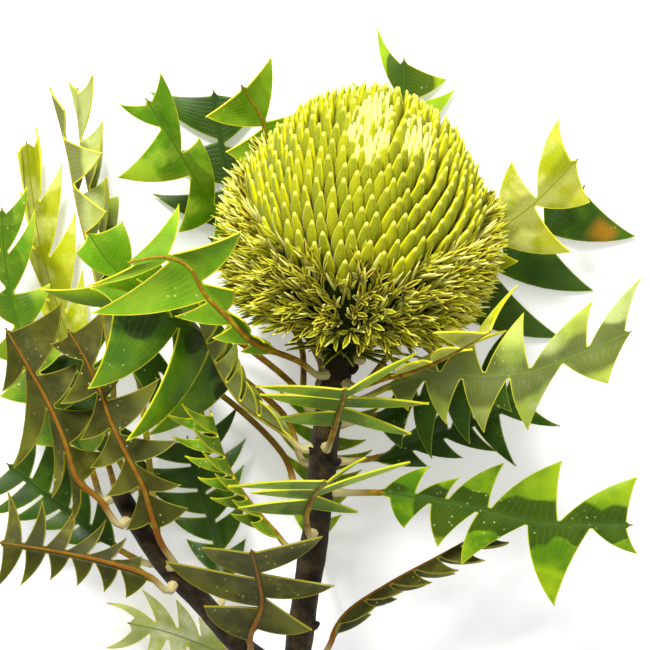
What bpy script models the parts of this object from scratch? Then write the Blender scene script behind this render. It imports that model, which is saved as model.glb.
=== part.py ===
"""A picked banksia sprig lying on a surface: one flower head, its forked stem and its cut leaves.

The sprig is laid out on a sheet seen from straight above, 3 units to a millimetre, x to the right
and y down, with heights in millimetres over the surface. at() turns a place on the sheet, as the
eye sees it, into a point. +Z is up, the head's top points along +Y. Lengths are millimetres here
and turned into metres when a mesh is made.
"""

import math
import random

import bmesh
import bpy
from mathutils import Vector

SHEET_MIDDLE = 325.0
UNITS_PER_MM = 3.0
EYE_HEIGHT = 900.0
STEM_LEVEL = 45.0
SHIFT = Vector((-7.9, -20.8, 0.0))
GAP = 0.3
THICK = 0.9
KEEL = 0.7
LOBE_ROWS = (0.0, 0.5, 1.0)
STALK_STEPS = (0.0, 2.6, 5.5, 9.5, 15.0, 23.0, 33.0)

HEAD_MIDDLE = (362.0, 222.0, 58.0)
HEAD_LEAN = 9.0
HEAD_TILT = 10.0
CORE_PROFILE = (
    (-45.0, 4.8), (-40.8, 5.2), (-38.4, 13.0), (-34.0, 21.5), (-28.0, 29.0), (-19.0, 33.8),
    (-8.0, 35.6), (4.0, 35.0), (15.0, 31.0), (24.0, 24.5), (31.0, 16.5), (36.0, 8.0),
)
CORE_TOP = 38.0
CORE_SIDES = 18
FLORETS = 238
LAST_ANGLE = 148.0
GOLDEN = math.radians(137.508)

BRACTS = {0: 13.0, 2: 19.0, 4: 25.0, 6: 22.0, 18: 12.0, 20: 17.0, 22: 12.0}

STEM_LINE = (
    (337, 376, 48), (328, 420, 45), (322, 470, 42), (316, 530, 38), (305, 600, 32), (298, 650, 27),
    (293, 695, 14), (288, 735, 3.4),
)
SHOOT_LINE = (
    (296, 676, 23), (272, 668, 26), (240, 645, 30), (200, 600, 36), (165, 565, 40), (138, 525, 42),
    (118, 490, 44),
)
STEM_RADIUS = 4.7
SHOOT_RADIUS = 4.2

DARK, MID, LIGHT = "leaf_dark", "leaf_mid", "leaf_light"
UP = (0, 0, 1)
DOWN = (0, 0, -1)

LEAVES = (
    dict(name="leaf_front_left", at=(337, 374), kind=MID, pairs=5, first=13, reach=23, fold=14,
         up=((0.2, 0.3, -0.9), (0.1, -0.1, -1)),
         rib=((300, 362, 60), (252, 341, 66), (231, 320, 68), (205, 294, 70), (188, 266, 72), (162, 257, 74),
              (132, 262, 76)),
         cuts=dict(left=((270, 350), (252, 341), (233, 324), (208, 299), (168, 257)),
                   right=((268, 349), (249, 337), (227, 313), (201, 283), (170, 258))),
         left=((87, 286, 78), (91, 313, 70), (175, 316, 66), (212, 338, 64), (240, 352, 62)),
         right=((179, 204, 72), (241, 231, 92), (234, 290, 80), (244, 322, 80), (264, 342, 76))),
    dict(name="leaf_upper_left", at=(329, 412), out=(-1, 0, -0.3), kind=MID, pairs=5, first=22,
         reach=18, fold=8,
         up=((0.35, 0.25, 0.9), (0.1, 0.1, 1)),
         rib=((300, 342, 24), (262, 284, 16), (222, 222, 21), (192, 174, 29), (148, 102, 36)),
         cuts=dict(left=((275, 300), (246, 260), (218, 216), (192, 176), (162, 127)),
                   right=((268, 292), (240, 250), (212, 206), (180, 153))),
         left=((119, 104, 38), (118, 177, 31), (178, 232, 24), (206, 266, 18), (238, 304, 18)),
         right=((160, 73, 38), (199, 138, 30), (250, 196, 20), (280, 258, 11))),
    dict(name="leaf_top_left", at=(338, 360), out=(-0.8, 0, -0.6), kind=LIGHT, pairs=5, first=34,
         reach=18, fold=0,
         up=((0, 0, -1), (0, 0, -1)),
         rib=((326, 348, 24), (316, 300, 10), (298, 230, 9), (280, 170, 12), (263, 122, 20), (243, 88, 29)),
         left=((206, 117, 30), (226, 152, 20)), right=((271, 58, 30), (322, 104, 22))),
    dict(name="leaf_low_left", at=(332, 396), out=(-0.6, 0, -0.8), kind=DARK, pairs=5, first=34,
         reach=22, fold=-3,
         rests=True, up=((0, 0, 1), (0, 0, 1)),
         rib=((320, 362, 18), (290, 310, 5), (254, 235, 4), (226, 165, 4), (214, 94, 4)),
         left=((151, 92, 1), (160, 152, 2), (153, 194, 2)), right=((262, 96, 3), (268, 150, 3))),
    dict(name="leaf_top", at=(338, 374), out=(0.15, 0, -1), kind=MID, pairs=6, first=42, reach=18, fold=-3,
         rests=True, up=((0, 0, 1), (0, 0, 1)),
         rib=((339, 354, 25), (349, 318, 6), (380, 210, 4), (402, 120, 4), (404, 62, 5)),
         left=((378, 29, 1),), right=((446, 79, 1),)),
    dict(name="leaf_upper_right", at=(336, 388), out=(0.9, 0, -0.4), kind=LIGHT, pairs=4, first=40,
         reach=18, fold=-3,
         up=((-0.1, 0.2, 1), (0.3, 0.3, 0.9)),
         rib=((374, 374, 38), (406, 330, 20), (452, 274, 9), (503, 228, 25), (536, 202, 33), (575, 162, 40)),
         left=((558, 119, 36), (512, 161, 34)), right=((590, 202, 36), (571, 252, 28))),
    dict(name="leaf_low_right", at=(339, 360), out=(0.95, 0, -0.5), kind=DARK, pairs=4, first=42,
         reach=20, fold=0,
         rests=True, up=((0, 0, 1), (0, 0, 1)),
         rib=((362, 351, 22), (398, 332, 6), (460, 290, 5), (530, 240, 6), (583, 188, 8)),
         left=((560, 150, 6), (520, 180, 6)), right=((636, 236, 4), (593, 290, 3), (562, 338, 3))),
    dict(name="leaf_front_top", at=(336, 446), kind=MID, pairs=3, first=22, reach=24, fold=6, bulge=0.3,
         up=((0, 1, 0.2), (0, 1, 0.1)),
         rib=((334, 430, 64), (338, 414, 78), (343, 400, 90), (345, 389, 102)),
         left=((256, 386, 108), (260, 394, 95), (276, 418, 83)),
         right=((417, 354, 106), (429, 404, 94), (411, 434, 83))),
    dict(name="leaf_front_middle", at=(316, 530), kind=DARK, pairs=3, first=19, reach=24, fold=6, bulge=0.28,
         up=((0, 1, 0.1), (0.1, 1, 0)),
         rib=((306, 516, 58), (313, 496, 74), (324, 481, 92)),
         left=((228, 487, 98), (252, 492, 84), (238, 508, 70)),
         right=((366, 457, 100), (410, 462, 86), (358, 512, 70))),
    dict(name="leaf_front_low", at=(248, 650), kind=DARK, pairs=3, first=15, reach=24, fold=8, shoot=True,
         up=((0.1, 0.5, -0.8), (0, 0.6, -0.8)), bulge=0.32, out=(0, 0, 1),
         rib=((251, 634, 48), (262, 605, 58), (258, 576, 68), (252, 552, 78)),
         left=((202, 547, 82), (166, 562, 70), (204, 606, 58)),
         right=((322, 536, 80), (334, 586, 68), (312, 630, 56))),
    dict(name="leaf_pale_left", at=(320, 450), kind=LIGHT, pairs=6, first=8, reach=17, fold=36,
         up=((0.7, 0.75, 0), (0.85, 0.5, 0)),
         rib=((288, 434, 47), (242, 402, 47), (214, 358, 47), (200, 322, 48))),
    dict(name="leaf_left_middle", at=(314, 545), kind=LIGHT, pairs=6, first=10, reach=18, fold=36,
         up=((-0.6, -0.8, 0.3), (-0.9, -0.3, 0.3)),
         rib=((290, 548, 42), (246, 500, 47), (224, 460, 47), (211, 415, 46))),
    dict(name="leaf_back", at=(312, 566), kind=MID, pairs=6, first=12, reach=18, fold=4,
         up=((0, 0, 1), (0, 0, 1)),
         rib=((310, 545, 19), (314, 510, 15), (322, 460, 13), (330, 412, 13)),
         right=(None, (366, 440, 15))),
    dict(name="leaf_shade_left", at=(318, 500), kind=DARK, pairs=2, first=58, reach=24, fold=6, bulge=0.2,
         up=((0, 0, 1), (0, 0, 1)), out=(-1, 0, -0.7),
         rib=((284, 456, 26), (240, 410, 14), (207, 386, 13), (166, 370, 20), (130, 366, 24)),
         left=((158, 428, 24), (204, 432, 15)),
         right=((112, 326, 24), (168, 318, 18))),
    dict(name="leaf_bright_left", at=(327, 424), kind=LIGHT, pairs=3, first=66, reach=20, fold=4, bulge=0.2,
         up=((0, 0, 1), (0, 0, 1)), out=(-1, 0, -1.2), wing=2.4,
         rib=((292, 384, 18), (236, 340, 12), (180, 310, 26), (136, 288, 47), (108, 262, 51), (90, 236, 53)),
         left=((76, 252, 53), (40, 289, 50), (112, 322, 47)),
         right=((122, 222, 53), (150, 250, 47), (182, 270, 28))),
    dict(name="leaf_right_edge", at=(345, 380), kind=LIGHT, pairs=3, first=26, reach=17, fold=0, bulge=0.1,
         up=((0.1, 1, 0.2), (-0.2, 1, 0.1)), out=(0.7, 0, 0.7),
         rib=((385, 378, 66), (432, 362, 82), (466, 345, 96), (488, 332, 106)),
         left=((434, 332, 118),), right=((518, 286, 102),)),
    dict(name="leaf_right", at=(341, 396), kind=MID, pairs=5, first=14, reach=21, fold=6, bulge=0.11,
         up=((0, 0, 1), (0.1, -0.1, 1)),
         rib=((400, 382, 54), (443, 375, 60), (487, 376, 63), (532, 371, 66), (580, 353, 68),
              (628, 333, 70)),
         cuts=dict(left=((396, 380), (440, 375), (484, 375), (531, 370), (588, 344)),
                   right=((388, 382), (424, 377), (462, 376), (508, 375), (562, 363))),
         left=((641, 278, 72), (592, 302, 70), (524, 313, 70), (474, 334, 64), (436, 352, 58)),
         right=((608, 383, 66), (528, 430, 58), (484, 432, 58), (446, 424, 56), (408, 410, 52))),
    dict(name="leaf_low_side_right", at=(334, 492), kind=MID, pairs=6, first=20, reach=22, fold=8,
         up=((0, 0.1, 1), (0, 0, 1)),
         rib=((385, 493, 42), (431, 500, 46), (480, 509, 50), (524, 521, 52), (580, 525, 54),
              (628, 525, 54)),
         cuts=dict(left=((385, 493), (416, 499), (447, 502), (489, 509), (559, 521)),
                   right=((390, 495), (430, 502), (477, 511), (526, 523), (591, 527))),
         left=((637, 477, 56), (562, 461, 56), (504, 463, 54), (459, 478, 52)),
         right=((637, 553, 52), (554, 606, 48), (461, 565, 44), (438, 546, 44), (404, 528, 42))),
    dict(name="leaf_right_shade", at=(339, 424), kind=DARK, pairs=4, first=16, reach=18, fold=0, bulge=0.16,
         up=((0, 0, 1), (0, 0, 1)), out=(1, 0, -0.5),
         rib=((386, 412, 30), (430, 396, 38), (474, 384, 42), (505, 366, 44)),
         left=((508, 330, 44),),
         right=((512, 412, 40), (470, 444, 37), (432, 458, 34), (402, 448, 31))),
    dict(name="leaf_right_fill", at=(336, 462), kind=DARK, pairs=5, first=18, reach=15, fold=8, bulge=0.1,
         up=((0.2, -0.2, 1), (0.2, -0.3, 1)), out=(1, 0, -0.4),
         rib=((385, 456, 28), (430, 440, 26), (480, 420, 30), (525, 398, 34)),
         right=(None, (516, 466, 34))),
    dict(name="leaf_bottom_right", at=(307, 655), kind=LIGHT, pairs=6, first=14, reach=13, fold=38,
         up=((0.5, -0.8, 0.2), (0.5, -0.8, 0.1)), out=(1, 0, 0.2),
         rib=((347, 616, 34), (389, 586, 34), (442, 556, 34), (484, 532, 34))),
    dict(name="side_leaf_big_left", at=(132, 516), kind=MID, out=(-0.6, -0.3, 0.6), pairs=4, first=8,
         reach=20,
         fold=10, up=((0.1, -0.1, -1), (0.1, 0, -1)), shoot=True, bulge=0.2,
         rib=((100, 500, 50), (78, 480, 52), (66, 444, 53), (50, 406, 53), (29, 368, 53), (8, 332, 53)),
         cuts=dict(left=((84, 487), (67, 452), (50, 408), (27, 367)),
                   right=((80, 484), (66, 446), (51, 408), (33, 376))),
         left=((2, 392, 50), (14, 468, 46), (52, 498, 46), (72, 522, 47)),
         right=((61, 303, 55), (78, 362, 49), (94, 409, 47), (104, 452, 46))),
    dict(name="side_leaf_middle", at=(166, 568), kind=MID, pairs=6, first=10, reach=18, fold=10, bulge=0.18,
         up=((0.1, -0.1, -1), (0.1, 0, -1)), shoot=True,
         rib=((161, 543, 50.5), (151, 512, 54), (143, 486, 56), (127, 455, 57), (112, 424, 57), (99, 388, 57),
              (85, 358, 57), (70, 333, 57)),
         cuts=dict(left=((154, 522), (143, 486), (128, 457), (114, 428), (101, 392), (86, 360)),
                   right=((156, 528), (146, 494), (132, 466), (117, 435), (104, 400), (90, 369))),
         left=((50, 344, 56), (60, 404, 55), (80, 440, 54), (90, 468, 53), (106, 496, 52), (126, 530, 50)),
         right=((101, 311, 57), (128, 348, 55), (159, 379, 54), (178, 440, 53), (181, 485, 52),
                (188, 508, 50))),
    dict(name="side_leaf_low", at=(176, 580), kind=MID, pairs=6, first=12, reach=17, fold=10, bulge=0.14,
         up=((0, -0.3, -1), (0, -0.3, -1)), shoot=True,
         rib=((150, 577, 46), (105, 562, 45), (52, 551, 44), (2, 543, 44)),
         left=((-6, 590, 40), (20, 586, 40), (50, 580, 41), (77, 586, 41), (104, 592, 42), (126, 598, 43)),
         right=((8, 492, 41), (42, 500, 41), (76, 505, 41), (106, 520, 41), (126, 538, 42), (142, 556, 43))),
    dict(name="leaf_glossy", at=(321, 466), kind=MID, pairs=3, first=44, reach=24, fold=4, bulge=0.2,
         up=((0, 0, 1), (-0.1, 0.1, 1)), out=(-1, 0, -0.7),
         rib=((286, 418, 30), (240, 376, 24), (208, 344, 38), (178, 324, 52), (148, 312, 58), (112, 308, 63)),
         cuts=dict(left=((240, 376), (212, 347), (180, 325)), right=((240, 376), (206, 342), (170, 320))),
         left=((88, 389, 65), (127, 441, 63), (148, 435, 33)),
         right=((90, 288, 63), (136, 280, 58), (196, 300, 40))),
    dict(name="side_leaf_upright", at=(120, 495), kind=LIGHT, pairs=5, first=44, reach=12, fold=50, wing=2.6,
         up=((0.9, 0.1, 0.1), (0.9, 0.2, 0)), shoot=True, out=(0.9, 0.3, -0.4), bulge=0.1,
         rib=((120, 462, 38), (110, 340, 33), (94, 262, 33), (80, 210, 34), (68, 150, 36), (52, 92, 38)),
         left=((64, 110, 45), (102, 153, 44), (106, 212, 42), (119, 238, 40), (126, 300, 40)),
         right=((58, 112, 30), (84, 152, 28), (105, 179, 27), (125, 227, 26), (122, 272, 25))),
    dict(name="side_leaf_hooked", at=(136, 522), kind=LIGHT, pairs=5, first=58, reach=12, fold=50, wing=2.4,
         up=((0.9, 0, -0.1), (0.9, 0.1, 0)), shoot=True, out=(1, 0.6, -0.6), bulge=0.1,
         rib=((150, 470, 24), (134, 350, 12), (108, 250, 14), (88, 180, 18), (80, 126, 21), (78, 92, 23)),
         left=((69, 82, 15), (102, 136, 12), (118, 196, 9)),
         right=((92, 75, 31), (102, 121, 29), (106, 178, 26))),
    dict(name="side_leaf_yellow", at=(126, 505), kind=LIGHT, pairs=5, first=42, reach=13, fold=26, wing=3.2,
         up=((0.5, 0.1, 0.8), (0.5, 0.1, 0.8)), shoot=True, out=(-0.5, 0, -1), bulge=0.1,
         rib=((110, 470, 13), (72, 350, 6), (52, 290, 7), (38, 236, 7), (31, 186, 8), (27, 146, 9)),
         left=((17, 152, 12), (20, 192, 12), (24, 246, 12), (34, 296, 12)),
         right=((35, 127, 10), (62, 163, 9), (75, 213, 8), (82, 270, 7))),
    dict(name="side_leaf_far_left", at=(120, 494), kind=MID, pairs=6, first=22, reach=18, fold=6, wing=1.9,
         up=((0, 0, 1), (0, 0, 1)), shoot=True, out=(-1, -0.3, -0.3), bulge=0.16,
         rib=((88, 460, 32), (46, 396, 26), (16, 318, 25), (4, 250, 26), (2, 212, 27)),
         left=((-4, 204, 26), (-10, 250, 24), (-12, 300, 22), (-10, 352, 23), (0, 396, 25), (22, 440, 28)),
         right=((27, 187, 27), (35, 209, 26), (50, 284, 23), (66, 344, 23), (84, 392, 25), (106, 432, 29))),
    dict(name="side_leaf_pale_low", at=(240, 647), kind=LIGHT, pairs=4, first=12, reach=16, fold=8,
         bulge=0.2,
         up=((0, 0.1, 1), (0, 0, 1)), shoot=True, out=(-0.3, -0.5, -1), wing=2.8,
         rib=((222, 652, 16), (190, 640, 12), (160, 630, 11), (132, 624, 12)),
         left=((106, 648, 9), (142, 664, 9), (172, 674, 10), (206, 694, 12)),
         right=((107, 603, 12), (142, 590, 12), (176, 600, 13))),
    dict(name="side_leaf_under", at=(150, 545), kind=DARK, pairs=5, first=34, reach=22, fold=4, bulge=0.2,
         up=((0, 0, 1), (0, 0, 1)), shoot=True, out=(-0.3, 0.3, -1),
         rib=((144, 500, 22), (126, 455, 18), (100, 405, 17), (70, 350, 17)),
         right=(None, None, (130, 400, 15), (134, 434, 15), (160, 474, 17))),
    dict(name="side_leaf_shade_low", at=(160, 560), kind=DARK, pairs=5, first=22, reach=19, fold=4,
         bulge=0.2,
         up=((0, 0, 1), (0, 0, 1)), shoot=True, out=(-1, 0.1, -0.8),
         rib=((120, 550, 25), (84, 524, 20), (46, 494, 18), (10, 466, 17))),
    dict(name="side_leaf_shade_right", at=(214, 615), kind=DARK, pairs=5, first=14, reach=20, fold=4,
         bulge=0.2,
         up=((0, 0, 1), (0, 0, 1)), shoot=True, out=(0.6, 0.6, -1),
         rib=((222, 576, 16), (214, 530, 12), (200, 486, 10), (188, 440, 8))),
)

COLOURS = {
    "bark": ((78, 52, 34), 0.85),
    "floret": ((198, 204, 62), 0.6),
    "bract": ((52, 78, 24), 0.6),
    DARK: ((58, 98, 30), 0.45),
    MID: ((98, 138, 52), 0.45),
    LIGHT: ((156, 176, 84), 0.5),
}


def clear_scene():
    for obj in list(bpy.data.objects):
        bpy.data.objects.remove(obj, do_unlink=True)


def at(x, y, z):
    """The point z mm over the surface that the eye sees at this place on the sheet."""
    share = (1.0 - (z - STEM_LEVEL) / EYE_HEIGHT) / UNITS_PER_MM
    return Vector(((x - SHEET_MIDDLE) * share, (SHEET_MIDDLE - y) * share, z)) - SHIFT


def linear(part):
    part = part / 255.0
    return part / 12.92 if part <= 0.04045 else ((part + 0.055) / 1.055) ** 2.4


def make_material(name):
    colour, roughness = COLOURS[name]
    material = bpy.data.materials.new(name)
    material.use_nodes = True
    shader = material.node_tree.nodes["Principled BSDF"]
    shader.inputs["Base Color"].default_value = (*[linear(part) for part in colour], 1.0)
    shader.inputs["Roughness"].default_value = roughness
    return material


def make_object(name, points, faces, material=None):
    mesh = bpy.data.meshes.new(name)
    mesh.from_pydata([point * 0.001 for point in points], [], faces)
    body = bmesh.new()
    body.from_mesh(mesh)
    bmesh.ops.recalc_face_normals(body, faces=body.faces)
    body.to_mesh(mesh)
    body.free()
    obj = bpy.data.objects.new(name, mesh)
    bpy.context.scene.collection.objects.link(obj)
    if material is not None:
        mesh.materials.append(material)
    return obj


def on_span(span, share):
    """The point at a share of the way between the middle two of four points, on a smooth line."""
    knots = [0.0]
    for a, b in zip(span, span[1:]):
        knots.append(knots[-1] + max((b - a).length, 1e-6) ** 0.5)
    t = knots[1] + (knots[2] - knots[1]) * share

    def mix(a, b, i, j):
        return a.lerp(b, (t - knots[i]) / (knots[j] - knots[i]))

    first, middle, last = (mix(span[i], span[i + 1], i, i + 1) for i in range(3))
    return mix(mix(first, middle, 0, 2), mix(middle, last, 1, 3), 1, 2)


class Line:
    """A smooth line through points, asked by the length from its start."""

    def __init__(self, points):
        self.points, self.far = [], [0.0]
        last = len(points) - 1
        for i in range(last):
            before = points[i - 1] if i else points[0] * 2 - points[1]
            after = points[i + 2] if i + 2 <= last else points[last] * 2 - points[last - 1]
            span = (before, points[i], points[i + 1], after)
            self.points.extend(on_span(span, k / 12) for k in range(12))
        self.points.append(points[last].copy())
        self.measure()

    def measure(self):
        self.far = [0.0]
        for a, b in zip(self.points, self.points[1:]):
            self.far.append(self.far[-1] + (b - a).length)
        self.length = self.far[-1]

    def place(self, u):
        if u <= 0:
            return self.points[0] + (self.points[1] - self.points[0]).normalized() * u
        if u >= self.length:
            return self.points[-1] + (self.points[-1] - self.points[-2]).normalized() * (u - self.length)
        i = max(k for k in range(len(self.far)) if self.far[k] <= u)
        i = min(i, len(self.points) - 2)
        return self.points[i].lerp(self.points[i + 1], (u - self.far[i]) / (self.far[i + 1] - self.far[i]))

    def heading(self, u):
        return (self.place(u + 0.8) - self.place(u - 0.8)).normalized()

    def nearest(self, x, y):
        """The length at which the line passes this place on the sheet."""
        return min(
            (self.length * k / 300 for k in range(301)),
            key=lambda u: (self.place(u) - at(x, y, self.place(u).z)).length,
        )


def head_frame():
    lean, tilt = math.radians(HEAD_LEAN), math.radians(HEAD_TILT)
    axis = Vector((math.sin(lean) * math.cos(tilt), math.cos(lean) * math.cos(tilt), math.sin(tilt)))
    front = (Vector((0, 0, 1)) - axis * axis.z).normalized()
    return at(*HEAD_MIDDLE), axis, front, axis.cross(front)


def head_point(height, radius, turn):
    """A point of the flower head: height along its axis, radius off it, turn 0 facing up."""
    middle, axis, front, side = head_frame()
    return middle + axis * height + (front * math.cos(turn) + side * math.sin(turn)) * radius


def stem_line():
    top = [head_point(-45.0 - GAP, 0, 0), head_point(-48.0, 0, 0)]
    return Line(top + [at(*place) for place in STEM_LINE])


def shoot_line():
    return Line([at(*place) for place in SHOOT_LINE])


def tube(line, radius_of, sides, rings, first=0.0):
    """Rings round a line and the faces between them, closed at both ends."""
    points, faces = [], []
    up = Vector((0.1, 0.05, 1.0))
    for i in range(rings):
        u = first + (line.length - first) * i / (rings - 1)
        ahead = line.heading(min(max(u, 0.7), line.length - 0.7))
        across = ahead.cross(up).normalized()
        above = across.cross(ahead)
        for k in range(sides):
            turn = 2 * math.pi * k / sides
            points.append(line.place(u) + (across * math.cos(turn) + above * math.sin(turn)) * radius_of(u))
    for i in range(rings - 1):
        for k in range(sides):
            a, b = i * sides + k, i * sides + (k + 1) % sides
            faces.append((a, b, b + sides, a + sides))
    faces.append(tuple(reversed(range(sides))))
    faces.append(tuple(range((rings - 1) * sides, rings * sides)))
    return points, faces


def join(target, others):
    """Fuse the objects in others into target and remove them."""
    group = bpy.data.collections.new("fused")
    bpy.context.scene.collection.children.link(group)
    for obj in others:
        bpy.context.scene.collection.objects.unlink(obj)
        group.objects.link(obj)
    union = target.modifiers.new("fuse", "BOOLEAN")
    union.operation = "UNION"
    union.operand_type = "COLLECTION"
    union.collection = group
    union.solver = "MANIFOLD"
    bpy.context.view_layer.objects.active = target
    bpy.ops.object.modifier_apply(modifier=union.name)
    for obj in others:
        bpy.data.objects.remove(obj, do_unlink=True)
    bpy.data.collections.remove(group)


def stem_radius(u, length):
    return STEM_RADIUS - 0.5 * u / length + 0.35 * math.sin(u / 9.0) ** 2 * min(1.0, u / 12.0)


def shoot_radius(u, length):
    return SHOOT_RADIUS - 1.0 * u / length


def build_stem(material):
    line = stem_line()
    main = make_object("stem", *tube(line, lambda u: stem_radius(u, line.length), 10, 22), material)
    shoot = shoot_line()
    branch = make_object("branch", *tube(shoot, lambda u: shoot_radius(u, shoot.length), 10, 12), material)
    join(main, [branch])


def foot(spec, main, shoot):
    """Where a leaf leaves its stem: a point off the bark and the way out."""
    line = shoot if spec.get("shoot") else main
    first = at(*spec["rib"][0])
    u = line.nearest(*spec["at"])
    centre, ahead = line.place(u), line.heading(u)
    out = Vector(spec["out"]) if "out" in spec else first - centre
    out = (out - ahead * out.dot(ahead)).normalized()
    radius = shoot_radius(u, line.length) if spec.get("shoot") else stem_radius(u, line.length)
    return centre + out * (radius + GAP + 0.1), out


class Leaf:
    """The lines a leaf is drawn from: its rib, the way its face looks, its lobes' feet and tips."""

    def __init__(self, spec, main, shoot, sag):
        self.spec = spec
        start, out = foot(spec, main, shoot)
        self.line = Line([start, start + out * 3.0] + [at(*place) for place in spec["rib"]])
        if sag:
            for i, point in enumerate(self.line.points):
                point.z -= sag * self.line.far[i] / self.line.length
            self.line.measure()
        self.length = self.line.length
        self.sag = sag
        self.ways = self.face_ways()
        ahead, _, across = self.frame(self.length * 0.7)
        self.left_side = 1 if across.dot(Vector((0, 0, 1)).cross(ahead)) > 0 else -1

    def face_ways(self):
        """The way the upper face looks at each point of the rib, carried back down the stalk."""
        first, last = [Vector(way).normalized() for way in self.spec["up"]]
        ways = []
        for far in self.line.far:
            way = first.lerp(last, far / self.length)
            ahead = self.line.heading(far)
            ways.append((way - ahead * way.dot(ahead)).normalized())
        turn = max(i for i, far in enumerate(self.line.far) if far <= max(self.spec["first"], 4.0))
        for i in range(turn - 1, -1, -1):
            ahead = self.line.heading(self.line.far[i])
            ways[i] = (ways[i + 1] - ahead * ways[i + 1].dot(ahead)).normalized()
        return ways

    def frame(self, u):
        u = min(max(u, 0.0), self.length)
        i = min(max(k for k in range(len(self.line.far)) if self.line.far[k] <= u), len(self.ways) - 2)
        share = (u - self.line.far[i]) / (self.line.far[i + 1] - self.line.far[i])
        ahead = self.line.heading(u)
        above = self.ways[i].lerp(self.ways[i + 1], share)
        above = (above - ahead * above.dot(ahead)).normalized()
        return ahead, above, ahead.cross(above)

    def half(self, u):
        return self.spec.get("wing", 1.7) - 0.5 * min(1.0, u / self.length)

    def marks(self, side):
        """Where along the rib each lobe of one side starts, and where the last one ends."""
        name = "left" if side == self.left_side else "right"
        cuts = self.spec.get("cuts", {}).get(name)
        if cuts:
            return [self.line.nearest(x, y) for x, y in cuts] + [self.length]
        first, count = self.spec["first"], self.spec["pairs"]
        step = (self.length - first) / count
        shift = 0.45 * step if side < 0 else 0.0
        return [
            first + step * count * (k / count) ** 0.9 + shift * (1 - k / count) for k in range(count + 1)
        ]

    def tip(self, marks, k, side, chance):
        count = len(marks) - 1
        given = self.spec.get("left" if side == self.left_side else "right", ())
        ahead, above, across = self.frame(marks[k + 1])
        size, tilt = chance.uniform(0.92, 1.06), chance.uniform(-4, 4)
        if count - 1 - k < len(given) and given[count - 1 - k]:
            return at(*given[count - 1 - k]) - Vector((0, 0, self.sag * marks[k + 1] / self.length))
        reach = self.spec["reach"] * size * min(1.0, 0.42 + 0.75 * (k + 0.6) / count)
        fold = math.radians(self.spec["fold"] + tilt)
        sweep = (0.5 if k < count - 1 else 0.7) * min(marks[k + 1] - marks[k], 0.6 * reach)
        tip = self.line.place(marks[k + 1]) + ahead * sweep
        return tip + across * side * reach * math.cos(fold) + above * reach * math.sin(fold)


def lobe_edges(start, end, tip, above, full):
    """The two edges of a lobe as curves: bulging on the near side, hollow on the far one."""
    flat = (end - start).cross(tip - start).normalized()
    if flat.dot(above) < 0:
        flat = -flat
    near = flat.cross(tip - start).normalized()
    if near.dot(end - start) > 0:
        near = -near
    far = flat.cross(tip - end).normalized()
    if far.dot(start - end) < 0:
        far = -far
    lift = flat * (tip - start).length * 0.06
    bulge = start.lerp(tip, 0.5) + near * (tip - start).length * full + lift
    hollow = end.lerp(tip, 0.5) + far * (tip - end).length * 0.09 + lift

    def edge(a, bend, t):
        return a * (1 - t) ** 2 + bend * 2 * t * (1 - t) + tip * t * t

    return lambda t: edge(start, bulge, t), lambda t: edge(end, hollow, t)


def build_leaf(spec, main, shoot, materials, sag=0.0):
    leaf = Leaf(spec, main, shoot, sag)
    chance = random.Random(spec["name"])
    points, faces = [], []
    stalk = [u for u in STALK_STEPS if u < spec["first"] - 1.5]
    sides = {1: leaf.marks(1), -1: leaf.marks(-1)}
    spine = sorted({*stalk, *sides[1], *sides[-1]})
    spine = [u for i, u in enumerate(spine) if i == 0 or u - spine[i - 1] > 0.3] + [leaf.length + 1.4]
    middle = []
    for u in spine:
        middle.append((u, len(points)))
        points.append(leaf.line.place(u))
    for side, marks in sides.items():
        chain = []
        for u in stalk + marks:
            chain.append((u, len(points)))
            points.append(leaf.line.place(u) + leaf.frame(u)[2] * side * leaf.half(u))
        a, b = 0, 0
        while a < len(middle) - 1 or b < len(chain) - 1:
            if b == len(chain) - 1 or (a < len(middle) - 1 and middle[a + 1][0] <= chain[b + 1][0]):
                face = (middle[a][1], chain[b][1], middle[a + 1][1])
                a += 1
            else:
                face = (middle[a][1], chain[b][1], chain[b + 1][1])
                b += 1
            faces.append(face if side > 0 else face[::-1])
        for k in range(len(marks) - 1):
            low, high = chain[k + len(stalk)][1], chain[k + len(stalk) + 1][1]
            tip = leaf.tip(marks, k, side, chance)
            near, far = lobe_edges(
                points[low], points[high], tip, leaf.frame(marks[k])[1], spec.get("bulge", 0.15)
            )
            for t in LOBE_ROWS[1:-1]:
                row = len(points)
                points.extend((near(t), far(t)))
                for face in ((low, row, row + 1), (low, row + 1, high)):
                    faces.append(face if side > 0 else face[::-1])
                low, high = row, row + 1
            points.append(tip)
            face = (low, len(points) - 1, high)
            faces.append(face if side > 0 else face[::-1])
    return thicken(spec["name"], points, faces, {i for _, i in middle}, materials[spec["kind"]])


def thicken(name, points, faces, keel, material):
    """A blade of even thickness about a sheet, both faces split alike, with a keel below."""
    normals = [Vector((0, 0, 0)) for _ in points]
    for a, b, c in faces:
        area = (points[b] - points[a]).cross(points[c] - points[a])
        for i in (a, b, c):
            normals[i] += area
    count = len(points)
    upper = [points[i] + normals[i].normalized() * THICK / 2 for i in range(count)]
    lower = [
        points[i] - normals[i].normalized() * (THICK / 2 + (KEEL if i in keel else 0.0))
        for i in range(count)
    ]
    solid = [tuple(face) for face in faces] + [tuple(i + count for i in reversed(face)) for face in faces]
    edges = {}
    for face in faces:
        for a, b in zip(face, face[1:] + face[:1]):
            edges[(a, b)] = edges.get((a, b), 0) + 1
    for a, b in edges:
        if (b, a) not in edges:
            solid += [(b, a, a + count), (b, a + count, b + count)]
    return make_object(name, upper + lower, solid, material)


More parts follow.
